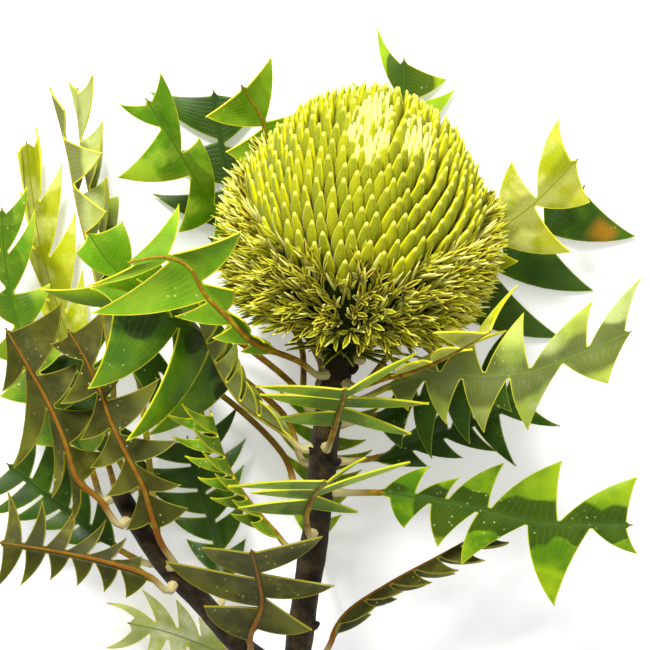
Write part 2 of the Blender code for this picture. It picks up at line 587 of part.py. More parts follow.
def build_leaves(materials):
    main, shoot = stem_line(), shoot_line()
    for spec in LEAVES:
        obj = build_leaf(spec, main, shoot, materials)
        if not spec.get("rests"):
            continue
        sag = 0.0
        for _ in range(7):
            sag += min(vertex.co.z for vertex in obj.data.vertices) * 1100.0
            bpy.data.objects.remove(obj, do_unlink=True)
            obj = build_leaf(spec, main, shoot, materials, sag)


def spike(name, root, tip, width, sides, belly, turn):
    """A closed pointed body from root to tip, widest at its belly."""
    ahead = (tip - root).normalized()
    across = ahead.cross(Vector((0.3, 0.2, 0.93))).normalized()
    above = across.cross(ahead)
    points, faces, rings = [], [], 0
    for share, size in belly:
        for k in range(sides):
            angle = turn + 2 * math.pi * k / sides
            way = across * math.cos(angle) + above * math.sin(angle)
            points.append(root.lerp(tip, share) + way * width * size / 2)
        rings += 1
    points.append(tip)
    for i in range(rings - 1):
        for k in range(sides):
            a, b = i * sides + k, i * sides + (k + 1) % sides
            faces.append((a, b, b + sides, a + sides))
    for k in range(sides):
        faces.append(((rings - 1) * sides + k, (rings - 1) * sides + (k + 1) % sides, len(points) - 1))
    faces.append(tuple(range(sides)))
    return make_object(name, points, faces)


def core_at(angle):
    """Height and radius of the core's surface at an angle from the head's top, in degrees."""
    profile = [*CORE_PROFILE, (CORE_TOP, 0.0)]
    best = None
    for (h0, r0), (h1, r1) in zip(profile, profile[1:]):
        for k in range(9):
            h, r = h0 + (h1 - h0) * k / 8, r0 + (r1 - r0) * k / 8
            off = abs(math.degrees(math.atan2(r, h)) - angle)
            if best is None or off < best[0]:
                best = (off, h, r)
    return best[1], best[2]


def blend(x, table):
    for (x0, y0), (x1, y1) in zip(table, table[1:]):
        if x <= x1:
            return y0 + (y1 - y0) * max(0.0, (x - x0) / (x1 - x0))
    return table[-1][1]


def build_head(material):
    middle, axis, front, side = head_frame()
    points, faces = [], []
    for height, radius in CORE_PROFILE:
        for k in range(CORE_SIDES):
            points.append(head_point(height, radius, 2 * math.pi * k / CORE_SIDES))
    rings = len(CORE_PROFILE)
    for i in range(rings - 1):
        for k in range(CORE_SIDES):
            a, b = i * CORE_SIDES + k, i * CORE_SIDES + (k + 1) % CORE_SIDES
            faces.append((a, b, b + CORE_SIDES, a + CORE_SIDES))
    points.append(head_point(CORE_TOP, 0, 0))
    for k in range(CORE_SIDES):
        ring = (rings - 1) * CORE_SIDES
        faces.append((ring + k, ring + (k + 1) % CORE_SIDES, len(points) - 1))
    faces.append(tuple(reversed(range(CORE_SIDES))))
    head = make_object("flower_head", points, faces, material)

    chance = random.Random(11)
    spikes = []
    for i in range(FLORETS):
        angle = math.degrees(math.acos(1 - (i + 0.5) / FLORETS * (1 - math.cos(math.radians(LAST_ANGLE)))))
        turn = i * GOLDEN + 0.4
        height, radius = core_at(angle)
        root = head_point(height, radius, turn)
        outward = (front * math.cos(turn) + side * math.sin(turn)).normalized()
        opened = angle > 110.0 - 60.0 * math.sin(turn / 2) ** 2
        if opened:
            lean = math.radians(blend(angle, ((50, 28), (70, 38), (85, 50), (100, 67), (120, 84), (150, 112))))
            way = axis * math.cos(lean) + outward * math.sin(lean)
            around = axis.cross(outward).normalized()
            for k in range(3):
                spread = 2 * math.pi * k / 3 + chance.uniform(-0.4, 0.4)
                aim = way + (around * math.cos(spread) + way.cross(around) * math.sin(spread)) * 0.2
                reach = chance.uniform(12.5, 15.0)
                spikes.append(spike(
                    f"needle_{i}_{k}", root - way * 3.0, root + aim.normalized() * reach,
                    2.8, 3, ((0.0, 1.0),), spread,
                ))
        else:
            lean = math.radians(blend(angle, ((0, 0), (45, 12), (80, 22), (100, 34), (115, 46))))
            way = axis * math.cos(lean) + outward * math.sin(lean)
            rise = blend(angle, ((0, 8.7), (40, 11.5), (80, 11.0), (115, 10.0)))
            sink = blend(angle, ((0, 4.0), (60, 5.0), (115, 3.0)))
            lift = outward * blend(angle, ((0, 0), (60, 0.5), (90, 1.5), (115, 1.5)))
            spikes.append(spike(
                f"floret_{i}", root - way * sink + lift, root + way * rise + lift,
                5.0, 4, ((0.0, 0.6), (0.6, 1.0)), math.pi / 4,
            ))
    join(head, spikes)


def build_bracts(material):
    """A collar round the top of the stem with narrow blades drawn out of it."""
    middle, axis, front, side = head_frame()
    inner, outer, steps = 5.2 + GAP + 0.1, 7.4, 24
    body = bmesh.new()
    rings = []
    for height, radius in ((-42.4, inner), (-42.4, outer), (-44.4, outer - 0.4), (-44.4, inner)):
        ring = []
        for k in range(steps):
            turn = 2 * math.pi * (k + (0.5 if k % 2 else 0.2)) / steps
            ring.append(body.verts.new(head_point(height, radius, turn) * 0.001))
        rings.append(ring)
    walls = []
    for i in range(4):
        for k in range(steps):
            a, b = rings[i], rings[(i + 1) % 4]
            face = body.faces.new((a[k], a[(k + 1) % steps], b[(k + 1) % steps], b[k]))
            if i == 1 and k in BRACTS:
                walls.append((k, face))
    bmesh.ops.recalc_face_normals(body, faces=body.faces)
    chance = random.Random(5)
    for k, face in walls:
        turn = 2 * math.pi * (k + 0.85) / steps
        reach = BRACTS[k]
        drop = chance.uniform(-3.5, 0.5)
        for share, wide in ((0.45, 1.5), (1.0, 0.3)):
            grown = bmesh.ops.extrude_discrete_faces(body, faces=[face])["faces"]
            face = grown[0]
            target = head_point(-43.4 + drop * share + 3.0 * share * (1 - share),
                                outer + reach * share, turn)
            around = (head_point(-43.4, outer, turn + 0.01) - head_point(-43.4, outer, turn - 0.01)).normalized()
            centre = face.calc_center_median() * 1000.0
            for vertex in face.verts:
                off = vertex.co * 1000.0 - centre
                wide_part = 1.0 if off.dot(around) > 0 else -1.0
                thick_part = 0.4 if off.dot(axis) > 0 else -0.4
                vertex.co = (target + around * wide_part * wide + axis * thick_part) * 0.001
    bmesh.ops.recalc_face_normals(body, faces=body.faces)
    mesh = bpy.data.meshes.new("bracts")
    body.to_mesh(mesh)
    body.free()
    mesh.materials.append(material)
    bpy.context.scene.collection.objects.link(bpy.data.objects.new("bracts", mesh))


def main():
    clear_scene()
    materials = {name: make_material(name) for name in COLOURS}
    build_stem(materials["bark"])
    build_head(materials["floret"])
    build_bracts(materials["bract"])
    build_leaves(materials)


main()
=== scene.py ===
"""Looks of a picked banksia sprig that lies on a pale floor, seen from straight above.

The sprig is one domed yellow flower head on a forked woody stem, with narrow bracts under the head
and stiff leaves whose lobes are cut almost to the midrib. Lengths are millimetres in the plans and
metres in the meshes. Places on the drawing sheet are (x, y), x to the right and y down, 3 units to a
millimetre, as the eye over the sprig sees them, and z is the height over the floor. Turns round the
head are in radians, all other angles in degrees.
"""

import bisect
import logging
import math
import random
from dataclasses import dataclass
from enum import Enum
from typing import Callable, Iterable, Sequence

import bpy
import numpy as np
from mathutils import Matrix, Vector


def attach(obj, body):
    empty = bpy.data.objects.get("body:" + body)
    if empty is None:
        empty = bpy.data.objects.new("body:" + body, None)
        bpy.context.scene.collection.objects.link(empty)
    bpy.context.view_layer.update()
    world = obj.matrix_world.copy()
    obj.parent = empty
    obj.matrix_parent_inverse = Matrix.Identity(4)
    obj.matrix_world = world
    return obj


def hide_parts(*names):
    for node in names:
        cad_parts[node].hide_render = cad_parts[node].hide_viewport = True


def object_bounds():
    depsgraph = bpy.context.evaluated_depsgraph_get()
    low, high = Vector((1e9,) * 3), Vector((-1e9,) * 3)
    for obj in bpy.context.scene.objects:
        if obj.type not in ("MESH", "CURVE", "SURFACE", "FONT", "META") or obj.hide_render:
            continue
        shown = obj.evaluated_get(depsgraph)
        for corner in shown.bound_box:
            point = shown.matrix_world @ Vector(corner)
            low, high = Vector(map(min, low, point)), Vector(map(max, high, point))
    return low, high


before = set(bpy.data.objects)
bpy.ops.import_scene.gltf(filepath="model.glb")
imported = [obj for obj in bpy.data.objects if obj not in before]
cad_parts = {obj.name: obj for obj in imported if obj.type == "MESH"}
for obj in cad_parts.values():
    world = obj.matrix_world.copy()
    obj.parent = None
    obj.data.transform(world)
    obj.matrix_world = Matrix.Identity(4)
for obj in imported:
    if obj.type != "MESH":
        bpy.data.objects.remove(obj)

LOG = logging.getLogger("banksia_sprig")
CAD_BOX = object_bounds()
MM = 0.001
ROUND = 2 * math.pi

Spot = tuple[float, float, float]
Colour = tuple[float, float, float]
Ways = tuple[Vector, Vector, Vector]
Rings = tuple[tuple[float, float], ...]
Fours = tuple[tuple[float, float, float, float], ...]
Edge = Callable[[float], Vector]
Shape = Callable[[float, float], float]
Piece = bpy.types.Object
Material = bpy.types.Material
Node = bpy.types.Node
Socket = bpy.types.NodeSocket


@dataclass(frozen=True)
class Sheet:
    """The drawing sheet on which the sprig is laid out, and the eye that looks down on it.

    Attributes:
        middle: The sheet's middle, in sheet units.
        units: Sheet units to a millimetre at the stem.
        eye: Height of the eye over the stem.
        level: Height of the stem over the floor.
        shift: Place of the sprig's origin off the sheet's middle.
    """

    middle: float = 325.0
    units: float = 3.0
    eye: float = 900.0
    level: float = 45.0
    shift: tuple[float, float] = (-7.9, -20.8)

    def at(self, x: float, y: float, z: float) -> Vector:
        """Finds the point that the eye sees at a place on the sheet.

        Args:
            x: Place across the sheet.
            y: Place down the sheet.
            z: Height over the floor.

        Returns:
            The point, in millimetres.
        """
        share = (1.0 - (z - self.level) / self.eye) / self.units
        return Vector((
            (x - self.middle) * share - self.shift[0],
            (self.middle - y) * share - self.shift[1],
            z,
        ))


SHEET = Sheet()


def blend(x: float, table: Sequence[tuple[float, float]]) -> float:
    """Reads a table of (x, value) pairs, straight between its rows and level past its ends.

    Args:
        x: Where to read.
        table: The pairs, in rising order of x.

    Returns:
        The value at x.
    """
    if x <= table[0][0]:
        return table[0][1]
    for (x0, y0), (x1, y1) in zip(table, table[1:]):
        if x <= x1:
            return y0 + (y1 - y0) * (x - x0) / (x1 - x0)
    return table[-1][1]


def smooth(low: float, high: float, x: float) -> float:
    """Rises smoothly from 0 at low to 1 at high."""
    share = min(max((x - low) / (high - low), 0.0), 1.0)
    return share * share * (3.0 - 2.0 * share)


def square_to(way: Vector, ahead: Vector) -> Vector:
    """Turns a way square to another, as a unit vector."""
    return (way - ahead * way.dot(ahead)).normalized()


def facing(way: Vector, towards: Vector) -> Vector:
    """Turns a way round if it looks away from another."""
    return -way if way.dot(towards) < 0 else way


class GrowthLine:
    """A smooth line through points, asked by the length from its start."""

    cuts = 12
    looks = 300

    def __init__(self, points: Sequence[Vector]) -> None:
        """Runs the line through the points.

        Args:
            points: What the line passes, in order.
        """
        last = len(points) - 1
        knots = [points[0] * 2 - points[1], *points, points[last] * 2 - points[last - 1]]
        self.points = [
            self.on_span(knots[i:i + 4], k / self.cuts) for i in range(last) for k in range(self.cuts)
        ]
        self.points.append(points[last].copy())
        self.measure()

    @staticmethod
    def on_span(span: Sequence[Vector], share: float) -> Vector:
        """Finds a point between the middle two of four points.

        Args:
            span: Four neighbouring points of the line.
            share: How far along, from 0 to 1.

        Returns:
            The point on the smooth line.
        """
        knots = [0.0]
        for a, b in zip(span, span[1:]):
            knots.append(knots[-1] + max((b - a).length, 1e-6) ** 0.5)
        t = knots[1] + (knots[2] - knots[1]) * share

        def mix(a: Vector, b: Vector, i: int, j: int) -> Vector:
            """Mixes two points by where t lies between two knots."""
            return a.lerp(b, (t - knots[i]) / (knots[j] - knots[i]))

        first, middle, last = (mix(span[i], span[i + 1], i, i + 1) for i in range(3))
        return mix(mix(first, middle, 0, 2), mix(middle, last, 1, 3), 1, 2)

    def measure(self) -> None:
        """Measures how far along each point of the line lies."""
        self.far = [0.0]
        for a, b in zip(self.points, self.points[1:]):
            self.far.append(self.far[-1] + (b - a).length)
        self.length = self.far[-1]

    def step_of(self, u: float) -> tuple[int, float]:
        """Finds the step of the line that holds a length, and the share of that step."""
        i = min(bisect.bisect_right(self.far, u) - 1, len(self.points) - 2)
        return i, (u - self.far[i]) / (self.far[i + 1] - self.far[i])

    def place(self, u: float) -> Vector:
        """Finds a point on the line, or straight on past its ends.

        Args:
            u: The length from its start.

        Returns:
            The point.
        """
        if u <= 0:
            return self.points[0] + (self.points[1] - self.points[0]).normalized() * u
        if u >= self.length:
            way = (self.points[-1] - self.points[-2]).normalized()
            return self.points[-1] + way * (u - self.length)
        i, share = self.step_of(u)
        return self.points[i].lerp(self.points[i + 1], share)

    def heading(self, u: float) -> Vector:
        """Gives the way that the line runs at a length."""
        return (self.place(u + 0.8) - self.place(u - 0.8)).normalized()

    def nearest(self, x: float, y: float) -> float:
        """Finds the length at which the line passes closest to a place on the sheet."""
        return min(
            (self.length * k / self.looks for k in range(self.looks + 1)),
            key=lambda u: (self.place(u) - SHEET.at(x, y, self.place(u).z)).length,
        )


class Moves:
    """The few modelling moves that every piece is made with."""

    merge = 2e-6
    tuck = 2e-5

    @staticmethod
    def select(objects: Iterable[Piece]) -> None:
        """Selects these objects only and makes the last one active.

        Args:
            objects: What to select.
        """
        bpy.ops.object.select_all(action="DESELECT")
        for obj in objects:
            obj.select_set(True)
            bpy.context.view_layer.objects.active = obj

    @staticmethod
    def points_of(obj: Piece) -> np.ndarray:
        """Reads the points of a piece.

        Args:
            obj: The piece.

        Returns:
            An array with a row for each point, in metres.
        """
        points = np.empty(len(obj.data.vertices) * 3, np.float32)
        obj.data.vertices.foreach_get("co", points)
        return points.reshape(-1, 3).astype(float)

    @staticmethod
    def move_points(obj: Piece, points: Sequence) -> None:
        """Moves a piece's points to new places, in metres."""
        obj.data.vertices.foreach_set("co", np.array(points, np.float32).ravel())

    @staticmethod
    def carry(obj: Piece, name: str, values: Sequence[Sequence[float]]) -> None:
        """Writes three numbers at each point of a piece, for its material to read by name."""
        store = obj.data.attributes.new(name, "FLOAT_VECTOR", "POINT")
        store.data.foreach_set("vector", np.array(values, np.float32).ravel())

    @classmethod
    def grid(cls, columns: int, rows: int, lay: Callable[[int, int], Vector]) -> Piece:
        """Adds a grid and lays each of its crossings where it belongs.

        Args:
            columns: Crossings along the grid.
            rows: Crossings across it.
            lay: Gives the point of a column and row.

        Returns:
            The grid, row by row.
        """
        bpy.ops.object.select_all(action="DESELECT")
        bpy.ops.mesh.primitive_grid_add(x_subdivisions=columns - 1, y_subdivisions=rows - 1, size=2)
        obj = bpy.context.object
        cls.move_points(obj, [lay(i % columns, i // columns) * MM for i in range(columns * rows)])
        obj.data.update()
        return obj

    @classmethod
    def weld(cls, obj: Piece, outward: bool = False) -> None:
        """Merges the points that lie together.

        Args:
            obj: The piece.
            outward: Whether its faces are then turned outward, as on a closed piece.
        """
        cls.select([obj])
        bpy.ops.object.mode_set(mode="EDIT")
        bpy.ops.mesh.select_all(action="SELECT")
        bpy.ops.mesh.remove_doubles(threshold=cls.merge)
        if outward:
            bpy.ops.mesh.normals_make_consistent(inside=False)
        bpy.ops.object.mode_set(mode="OBJECT")

    @classmethod
    def drop_faces(cls, obj: Piece, gone: set[int]) -> None:
        """Deletes faces of a piece.

        Args:
            obj: The piece.
            gone: The numbers of the faces that go.
        """
        cls.select([obj])
        mesh = obj.data
        mesh.polygons.foreach_set("select", [i in gone for i in range(len(mesh.polygons))])
        for part in (mesh.vertices, mesh.edges):
            part.foreach_set("select", [False] * len(part))
        bpy.ops.object.mode_set(mode="EDIT")
        bpy.ops.mesh.select_mode(type="FACE")
        bpy.ops.mesh.delete(type="FACE")
        bpy.ops.mesh.select_mode(type="VERT")
        bpy.ops.object.mode_set(mode="OBJECT")

    @classmethod
    def join(cls, parts: Sequence[Piece]) -> Piece:
        """Joins parts into the last of them.

        Args:
            parts: The parts.

        Returns:
            The joined piece.
        """
        cls.select(parts)
        bpy.ops.object.join()
        return bpy.context.object

    @classmethod
    def thicken(cls, obj: Piece, thick: float, back: int = 0) -> None:
        """Gives a sheet its thickness.

        Args:
            obj: The sheet.
            thick: The thickness.
            back: How many material slots after the front's the back's is.
        """
        shell = obj.modifiers.new("thickness", "SOLIDIFY")
        shell.thickness = thick * MM
        shell.offset = 0.0
        shell.material_offset = back
        cls.select([obj])
        bpy.ops.object.modifier_apply(modifier=shell.name)

    @classmethod
    def copies(cls, pattern: Piece, places: Iterable[tuple[np.ndarray, float]]) -> Piece:
        """Copies a pattern to many places, each copy with its own mesh, and joins the copies.

        Args:
            pattern: What is copied. It is removed afterwards.
            places: For each copy, the points of its mesh in metres and its tint.

        Returns:
            The joined piece.
        """
        made = []
        for points, tint in places:
            copy = pattern.copy()
            copy.data = pattern.data.copy()
            cls.move_points(copy, points)
            store = copy.data.attributes.new("tint", "FLOAT", "POINT")
            store.data.foreach_set("value", np.full(len(points), tint, np.float32))
            bpy.context.scene.collection.objects.link(copy)
            made.append(copy)
        bpy.data.objects.remove(pattern, do_unlink=True)
        return cls.join(made)

    @classmethod
    def finish(cls, obj: Piece, name: str, slot: str, nodes: Sequence[str] = (), sharp: float = 180.0
               ) -> Piece:
        """Tucks a piece into the solids' box, shades it smooth and names what it stands for.

        Args:
            obj: The piece.
            name: Its name.
            slot: The material slot that its finish belongs to; not used.
            nodes: The solids that it replaces.
            sharp: The angle over which an edge stays sharp.

        Returns:
            The piece.
        """
        obj.name = obj.data.name = name
        low, high = (np.array(corner) for corner in CAD_BOX)
        cls.move_points(obj, np.clip(cls.points_of(obj), low + cls.tuck, high - cls.tuck))
        cls.select([obj])
        if sharp < 180.0:
            bpy.ops.object.shade_smooth_by_angle(angle=math.radians(sharp))
        else:
            bpy.ops.object.shade_smooth()
        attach(obj, "root")
        if nodes:
            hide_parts(*nodes)
        LOG.info("%s: %d faces", name, len(obj.data.polygons))
        return obj

    @classmethod
    def tube(cls, stations: Sequence[float], frame_at: Callable[[float], Ways], radius: Shape,
             sides: int) -> Piece:
        """Wraps a grid round as a tube that is closed at both ends.

        Args:
            stations: Lengths along the tube at which it has a ring.
            frame_at: Gives a ring's middle and its two ways by its length.
            radius: Gives the radius by the length and the turn round the tube.
            sides: Sides of the tube.

        Returns:
            The tube. It carries the length along it and the turn's cosine and sine as ring.
        """
        frames = [frame_at(u) for u in stations]
        last = len(stations) - 1

        def crossing(column: int, row: int) -> tuple[int, float]:
            """Gives a crossing's station and its turn."""
            return min(max(column - 1, 0), last), ROUND * (row % sides) / sides

        def lay(column: int, row: int) -> Vector:
            """Lays a crossing on its ring, or on the middle of an end.

            Args:
                column: Its place along the tube.
                row: Its place round the tube.

            Returns:
                The point.
            """
            i, turn = crossing(column, row)
            centre, across, above = frames[i]
            if column in (0, last + 2):
                return centre
            off = across * math.cos(turn) + above * math.sin(turn)
            return centre + off * radius(stations[i], turn)

        obj = cls.grid(last + 3, sides + 1, lay)
        spots = [crossing(column, row) for row in range(sides + 1) for column in range(last + 3)]
        cls.carry(obj, "ring", [(stations[i], math.cos(turn), math.sin(turn)) for i, turn in spots])
        cls.weld(obj, outward=True)
        return obj

    @classmethod
    def upright(cls, profile: Rings, sides: int, flat: Shape = lambda h, turn: 1.0, bend: float = 0.0
                ) -> Piece:
        """Stands a tube upright at the origin.

        Args:
            profile: Its radius by height.
            sides: Its sides.
            flat: Gives the share of the radius that is left at a height and turn.
            bend: How far it bends over at a height of 1.

        Returns:
            The tube.
        """
        return cls.tube(
            [h for h, _ in profile],
            lambda h: (Vector((bend * h * h, 0, h)), Vector((1, 0, 0)), Vector((0, 1, 0))),
            lambda h, turn: blend(h, profile) * flat(h, turn), sides,
        )


def paint(colour: Colour) -> tuple[float, float, float, float]:
    """Turns a colour of 0 to 255 parts, as a screen shows it, into one that a shader takes.

    Args:
        colour: The colour's three parts.

    Returns:
        The three parts on an even scale from 0 to 1, and 1 for opaque.
    """

    def part(value: float) -> float:
        """Turns one part."""
        value /= 255.0
        return value / 12.92 if value <= 0.04045 else ((value + 0.055) / 1.055) ** 2.4

    return (*(part(value) for value in colour), 1.0)


class ShaderBench:
    """Builds node trees with few words. Colours are given to it in parts of 255."""

    def __init__(self, tree: bpy.types.NodeTree) -> None:
        """Works on one node tree."""
        self.tree = tree

    def node(self, kind: str, values: dict | None = None, **settings: object) -> Node:
        """Adds a node.

        Args:
            kind: The node's type name.
            values: Input names or numbers, with what they are linked to or set to.
            settings: The node's own properties.

        Returns:
            The node.
        """
        node = self.tree.nodes.new(kind)
        for name, value in settings.items():
            setattr(node, name, value)
        for key, value in (values or {}).items():
            if isinstance(value, Socket):
                self.tree.links.new(value, node.inputs[key])
            else:
                node.inputs[key].default_value = paint(value) if isinstance(value, tuple) else value
        return node

    def math(self, operation: str, *values: object) -> Socket:
        """Adds a math node on these values and gives its result."""
        return self.node("ShaderNodeMath", dict(enumerate(values)), operation=operation).outputs[0]

    def times(self, value: object, factor: object) -> Socket:
        """Multiplies a value by a factor."""
        return self.math("MULTIPLY", value, factor)

    def ramp(self, value: Socket, low: object, high: object, start: float = 0.0, end: float = 1.0
             ) -> Socket:
        """Maps a value smoothly from the span of low to high to the span of start to end."""
        spans = {"Value": value, "From Min": low, "From Max": high, "To Min": start, "To Max": end}
        return self.node("ShaderNodeMapRange", spans, interpolation_type="SMOOTHSTEP").outputs["Result"]

    def mix(self, share: object, first: object, second: object, blend_type: str = "MIX") -> Socket:
        """Mixes a share of the second colour into the first."""
        given = {0: share, 6: first, 7: second}
        return self.node("ShaderNodeMix", given, data_type="RGBA", blend_type=blend_type).outputs[2]

    def noise(self, scale: object, detail: float, where: object = None, rough: float = 0.55) -> Socket:
        """Adds a noise of so many waves to a metre, laid on the piece's own coordinates."""
        values = {"Vector": where or self.own(), "Scale": scale, "Detail": detail, "Roughness": rough}
        return self.node("ShaderNodeTexNoise", values).outputs["Fac"]

    def own(self) -> Socket:
        """Gives the piece's own coordinates, in metres."""
        return self.node("ShaderNodeTexCoord").outputs["Object"]

    def carried(self, name: str) -> tuple[Socket, Socket, Socket]:
        """Reads the three numbers that a piece carries under a name."""
        store = self.node("ShaderNodeAttribute", attribute_name=name).outputs["Vector"]
        return tuple(self.node("ShaderNodeSeparateXYZ", {0: store}).outputs)

    def share(self, name: str) -> Socket:
        """Reads the one number that a piece carries under a name."""
        return self.node("ShaderNodeAttribute", attribute_name=name).outputs["Fac"]

    def mottled(self, colour: Colour, patch: Colour, amount: float, scale: float) -> Sequence[Socket]:
        """Mottles a colour with patches of another, and gives the result and its fine grain."""
        values = {"Colour": colour, "Patch": patch, "Amount": amount, "Scale": scale}
        return self.node("ShaderNodeGroup", values, node_tree=Effects.mottling()).outputs


class Coating(ShaderBench):
    """A material in the making: a node tree with its shader."""

    shine = 0.18

    def __init__(self, name: str, **values: float) -> None:
        """Starts a material.

        Args:
            name: The material's name.
            values: Values of the shader's inputs, named in small letters with _ for a space.
        """
        self.material = bpy.data.materials.new(name)
        self.material.use_nodes = True
        super().__init__(self.material.node_tree)
        self.shader = self.tree.nodes["Principled BSDF"]
        self.shader.inputs["Specular IOR Level"].default_value = self.shine
        for key, value in values.items():
            self.shader.inputs[key.replace("_", " ").title()].default_value = value

    def cover(self, colour: Socket, height: Socket, strength: float = 0.4, depth: float = 0.0003
              ) -> Material:
        """Links the colour and the bumps to the shader.

        Args:
            colour: The colour.
            height: The bumps' height.
            strength: How strong the bumps are.
            depth: How deep they are, in metres.

        Returns:
            The material.
        """
        bump = self.node("ShaderNodeBump", {"Height": height, "Strength": strength, "Distance": depth})
        self.tree.links.new(colour, self.shader.inputs["Base Color"])
        self.tree.links.new(bump.outputs[0], self.shader.inputs["Normal"])
        return self.material


class Effects:
    """Shader groups that several finishes share, each made once.

    Attributes:
        made: The groups made so far.
        kinds: The types of socket for a value and for a colour.
        veins: Veins across a lobe.
        painted_shadow_reach: How far off the rib the painted shadow zone ends.
        margin: Width of the thick margin.
    """

    made: dict[str, bpy.types.NodeTree] = {}
    kinds = ("NodeSocketFloat", "NodeSocketColor")
    veins = 9.0
    painted_shadow_reach = 14.0
    margin = 0.48

    @classmethod
    def group(cls, name: str, inputs: dict[str, object],
              wire: Callable[[ShaderBench, Sequence[Socket]], dict[str, Socket]]) -> bpy.types.NodeTree:
        """Makes a group, unless it is made already.

        Args:
            name: The group's name.
            inputs: Its inputs' names and values.
            wire: Fills the group, given its bench and its inputs, and names its outputs.

        Returns:
            The group.
        """
        if name not in cls.made:
            tree = cls.made[name] = bpy.data.node_groups.new(name, "ShaderNodeTree")
            for label, value in inputs.items():
                kind = cls.kinds[isinstance(value, tuple)]
                tree.interface.new_socket(label, in_out="INPUT", socket_type=kind).default_value = value
            bench = ShaderBench(tree)
            made = wire(bench, bench.node("NodeGroupInput").outputs)
            for label, socket in made.items():
                kind = cls.kinds[socket.type == "RGBA"]
                tree.interface.new_socket(label, in_out="OUTPUT", socket_type=kind)
            bench.node("NodeGroupOutput", made)
        return cls.made[name]

    @classmethod
    def mottling(cls) -> bpy.types.NodeTree:
        """Makes the group that breaks a colour into cloudy light and dark patches.

        Returns:
            The group.
        """

        def wire(bench: ShaderBench, given: Sequence[Socket]) -> dict[str, Socket]:
            """Mixes towards the second colour in clouds, and shades finely.

            Args:
                bench: Builds the group.
                given: What the group is given.

            Returns:
                The mottled colour and its fine grain.
            """
            where = bench.own()
            cloud = bench.ramp(bench.noise(given["Scale"], 3.0, where, 0.6), 0.4, 0.62)
            colour = bench.mix(bench.times(cloud, given["Amount"]), given["Colour"], given["Patch"])
            fine = bench.noise(2600.0, 2.0, where, 0.5)
            shade = bench.ramp(fine, 0.2, 0.8, 0.86, 1.12)
            grey = bench.node("ShaderNodeCombineColor", dict.fromkeys(range(3), shade)).outputs[0]
            return {"Colour": bench.mix(1.0, colour, grey, "MULTIPLY"), "Grain": fine}

        start = (0.2, 0.3, 0.1, 1)
        given = {"Colour": start, "Patch": start, "Amount": 0.5, "Scale": 90.0}
        return cls.group("mottling", given, wire)

    @classmethod
    def leaf_lines(cls) -> bpy.types.NodeTree:
        """Makes the group that draws a leaf's veins, margin, midrib, specks, paler lobe tips and painted
        shadow zones.

        Returns:
            The group.
        """

        def wire(bench: ShaderBench, given: Sequence[Socket]) -> dict[str, Socket]:
            """Turns the numbers that a blade carries into masks.

            Args:
                bench: Builds the group.
                given: What the group is given.

            Returns:
                The masks, from 0 to 1.
            """
            across, along, edge = bench.carried("blade")
            _, off_rib, _ = bench.carried("place")
            where = bench.own()
            drift = bench.ramp(bench.noise(160.0, 2.0, where), 0.2, 0.8, -0.14, 0.14)
            waves = bench.math("FRACT", bench.math("ADD", bench.times(across, cls.veins), drift))
            saw = bench.math("ABSOLUTE", bench.math("SUBTRACT", waves, 0.5))
            cells = bench.node("ShaderNodeTexVoronoi", {"Vector": where, "Scale": 420.0}).outputs[0]
            here = bench.ramp(bench.noise(55.0, 2.0, where), 0.5, 0.62)
            cloud = bench.ramp(bench.noise(38.0, 2.0, where), 0.36, 0.64, -0.5, 0.5)
            # Painted shadow: a cloudy zone along the rib, where the blade is darkened as if shaded.
            near = bench.math("ADD", bench.ramp(off_rib, cls.painted_shadow_reach, 2.0), cloud)
            low, high = (bench.math(kind, 0.53, given["Soft"]) for kind in ("SUBTRACT", "ADD"))
            return {
                "Vein": bench.times(bench.ramp(saw, 0.16, 0.0), bench.ramp(along, 1.0, 0.6)),
                "Margin": bench.ramp(edge, cls.margin, 0.12),
                "Rib": bench.ramp(off_rib, 0.34, 0.16),
                "Speck": bench.times(bench.ramp(cells, 0.2, 0.08), here),
                "Shade": bench.ramp(near, low, high),
                "Outer": bench.ramp(bench.math("ADD", along, cloud), 0.3, 1.1),
            }

        return cls.group("leaf_lines", {"Soft": 0.2}, wire)


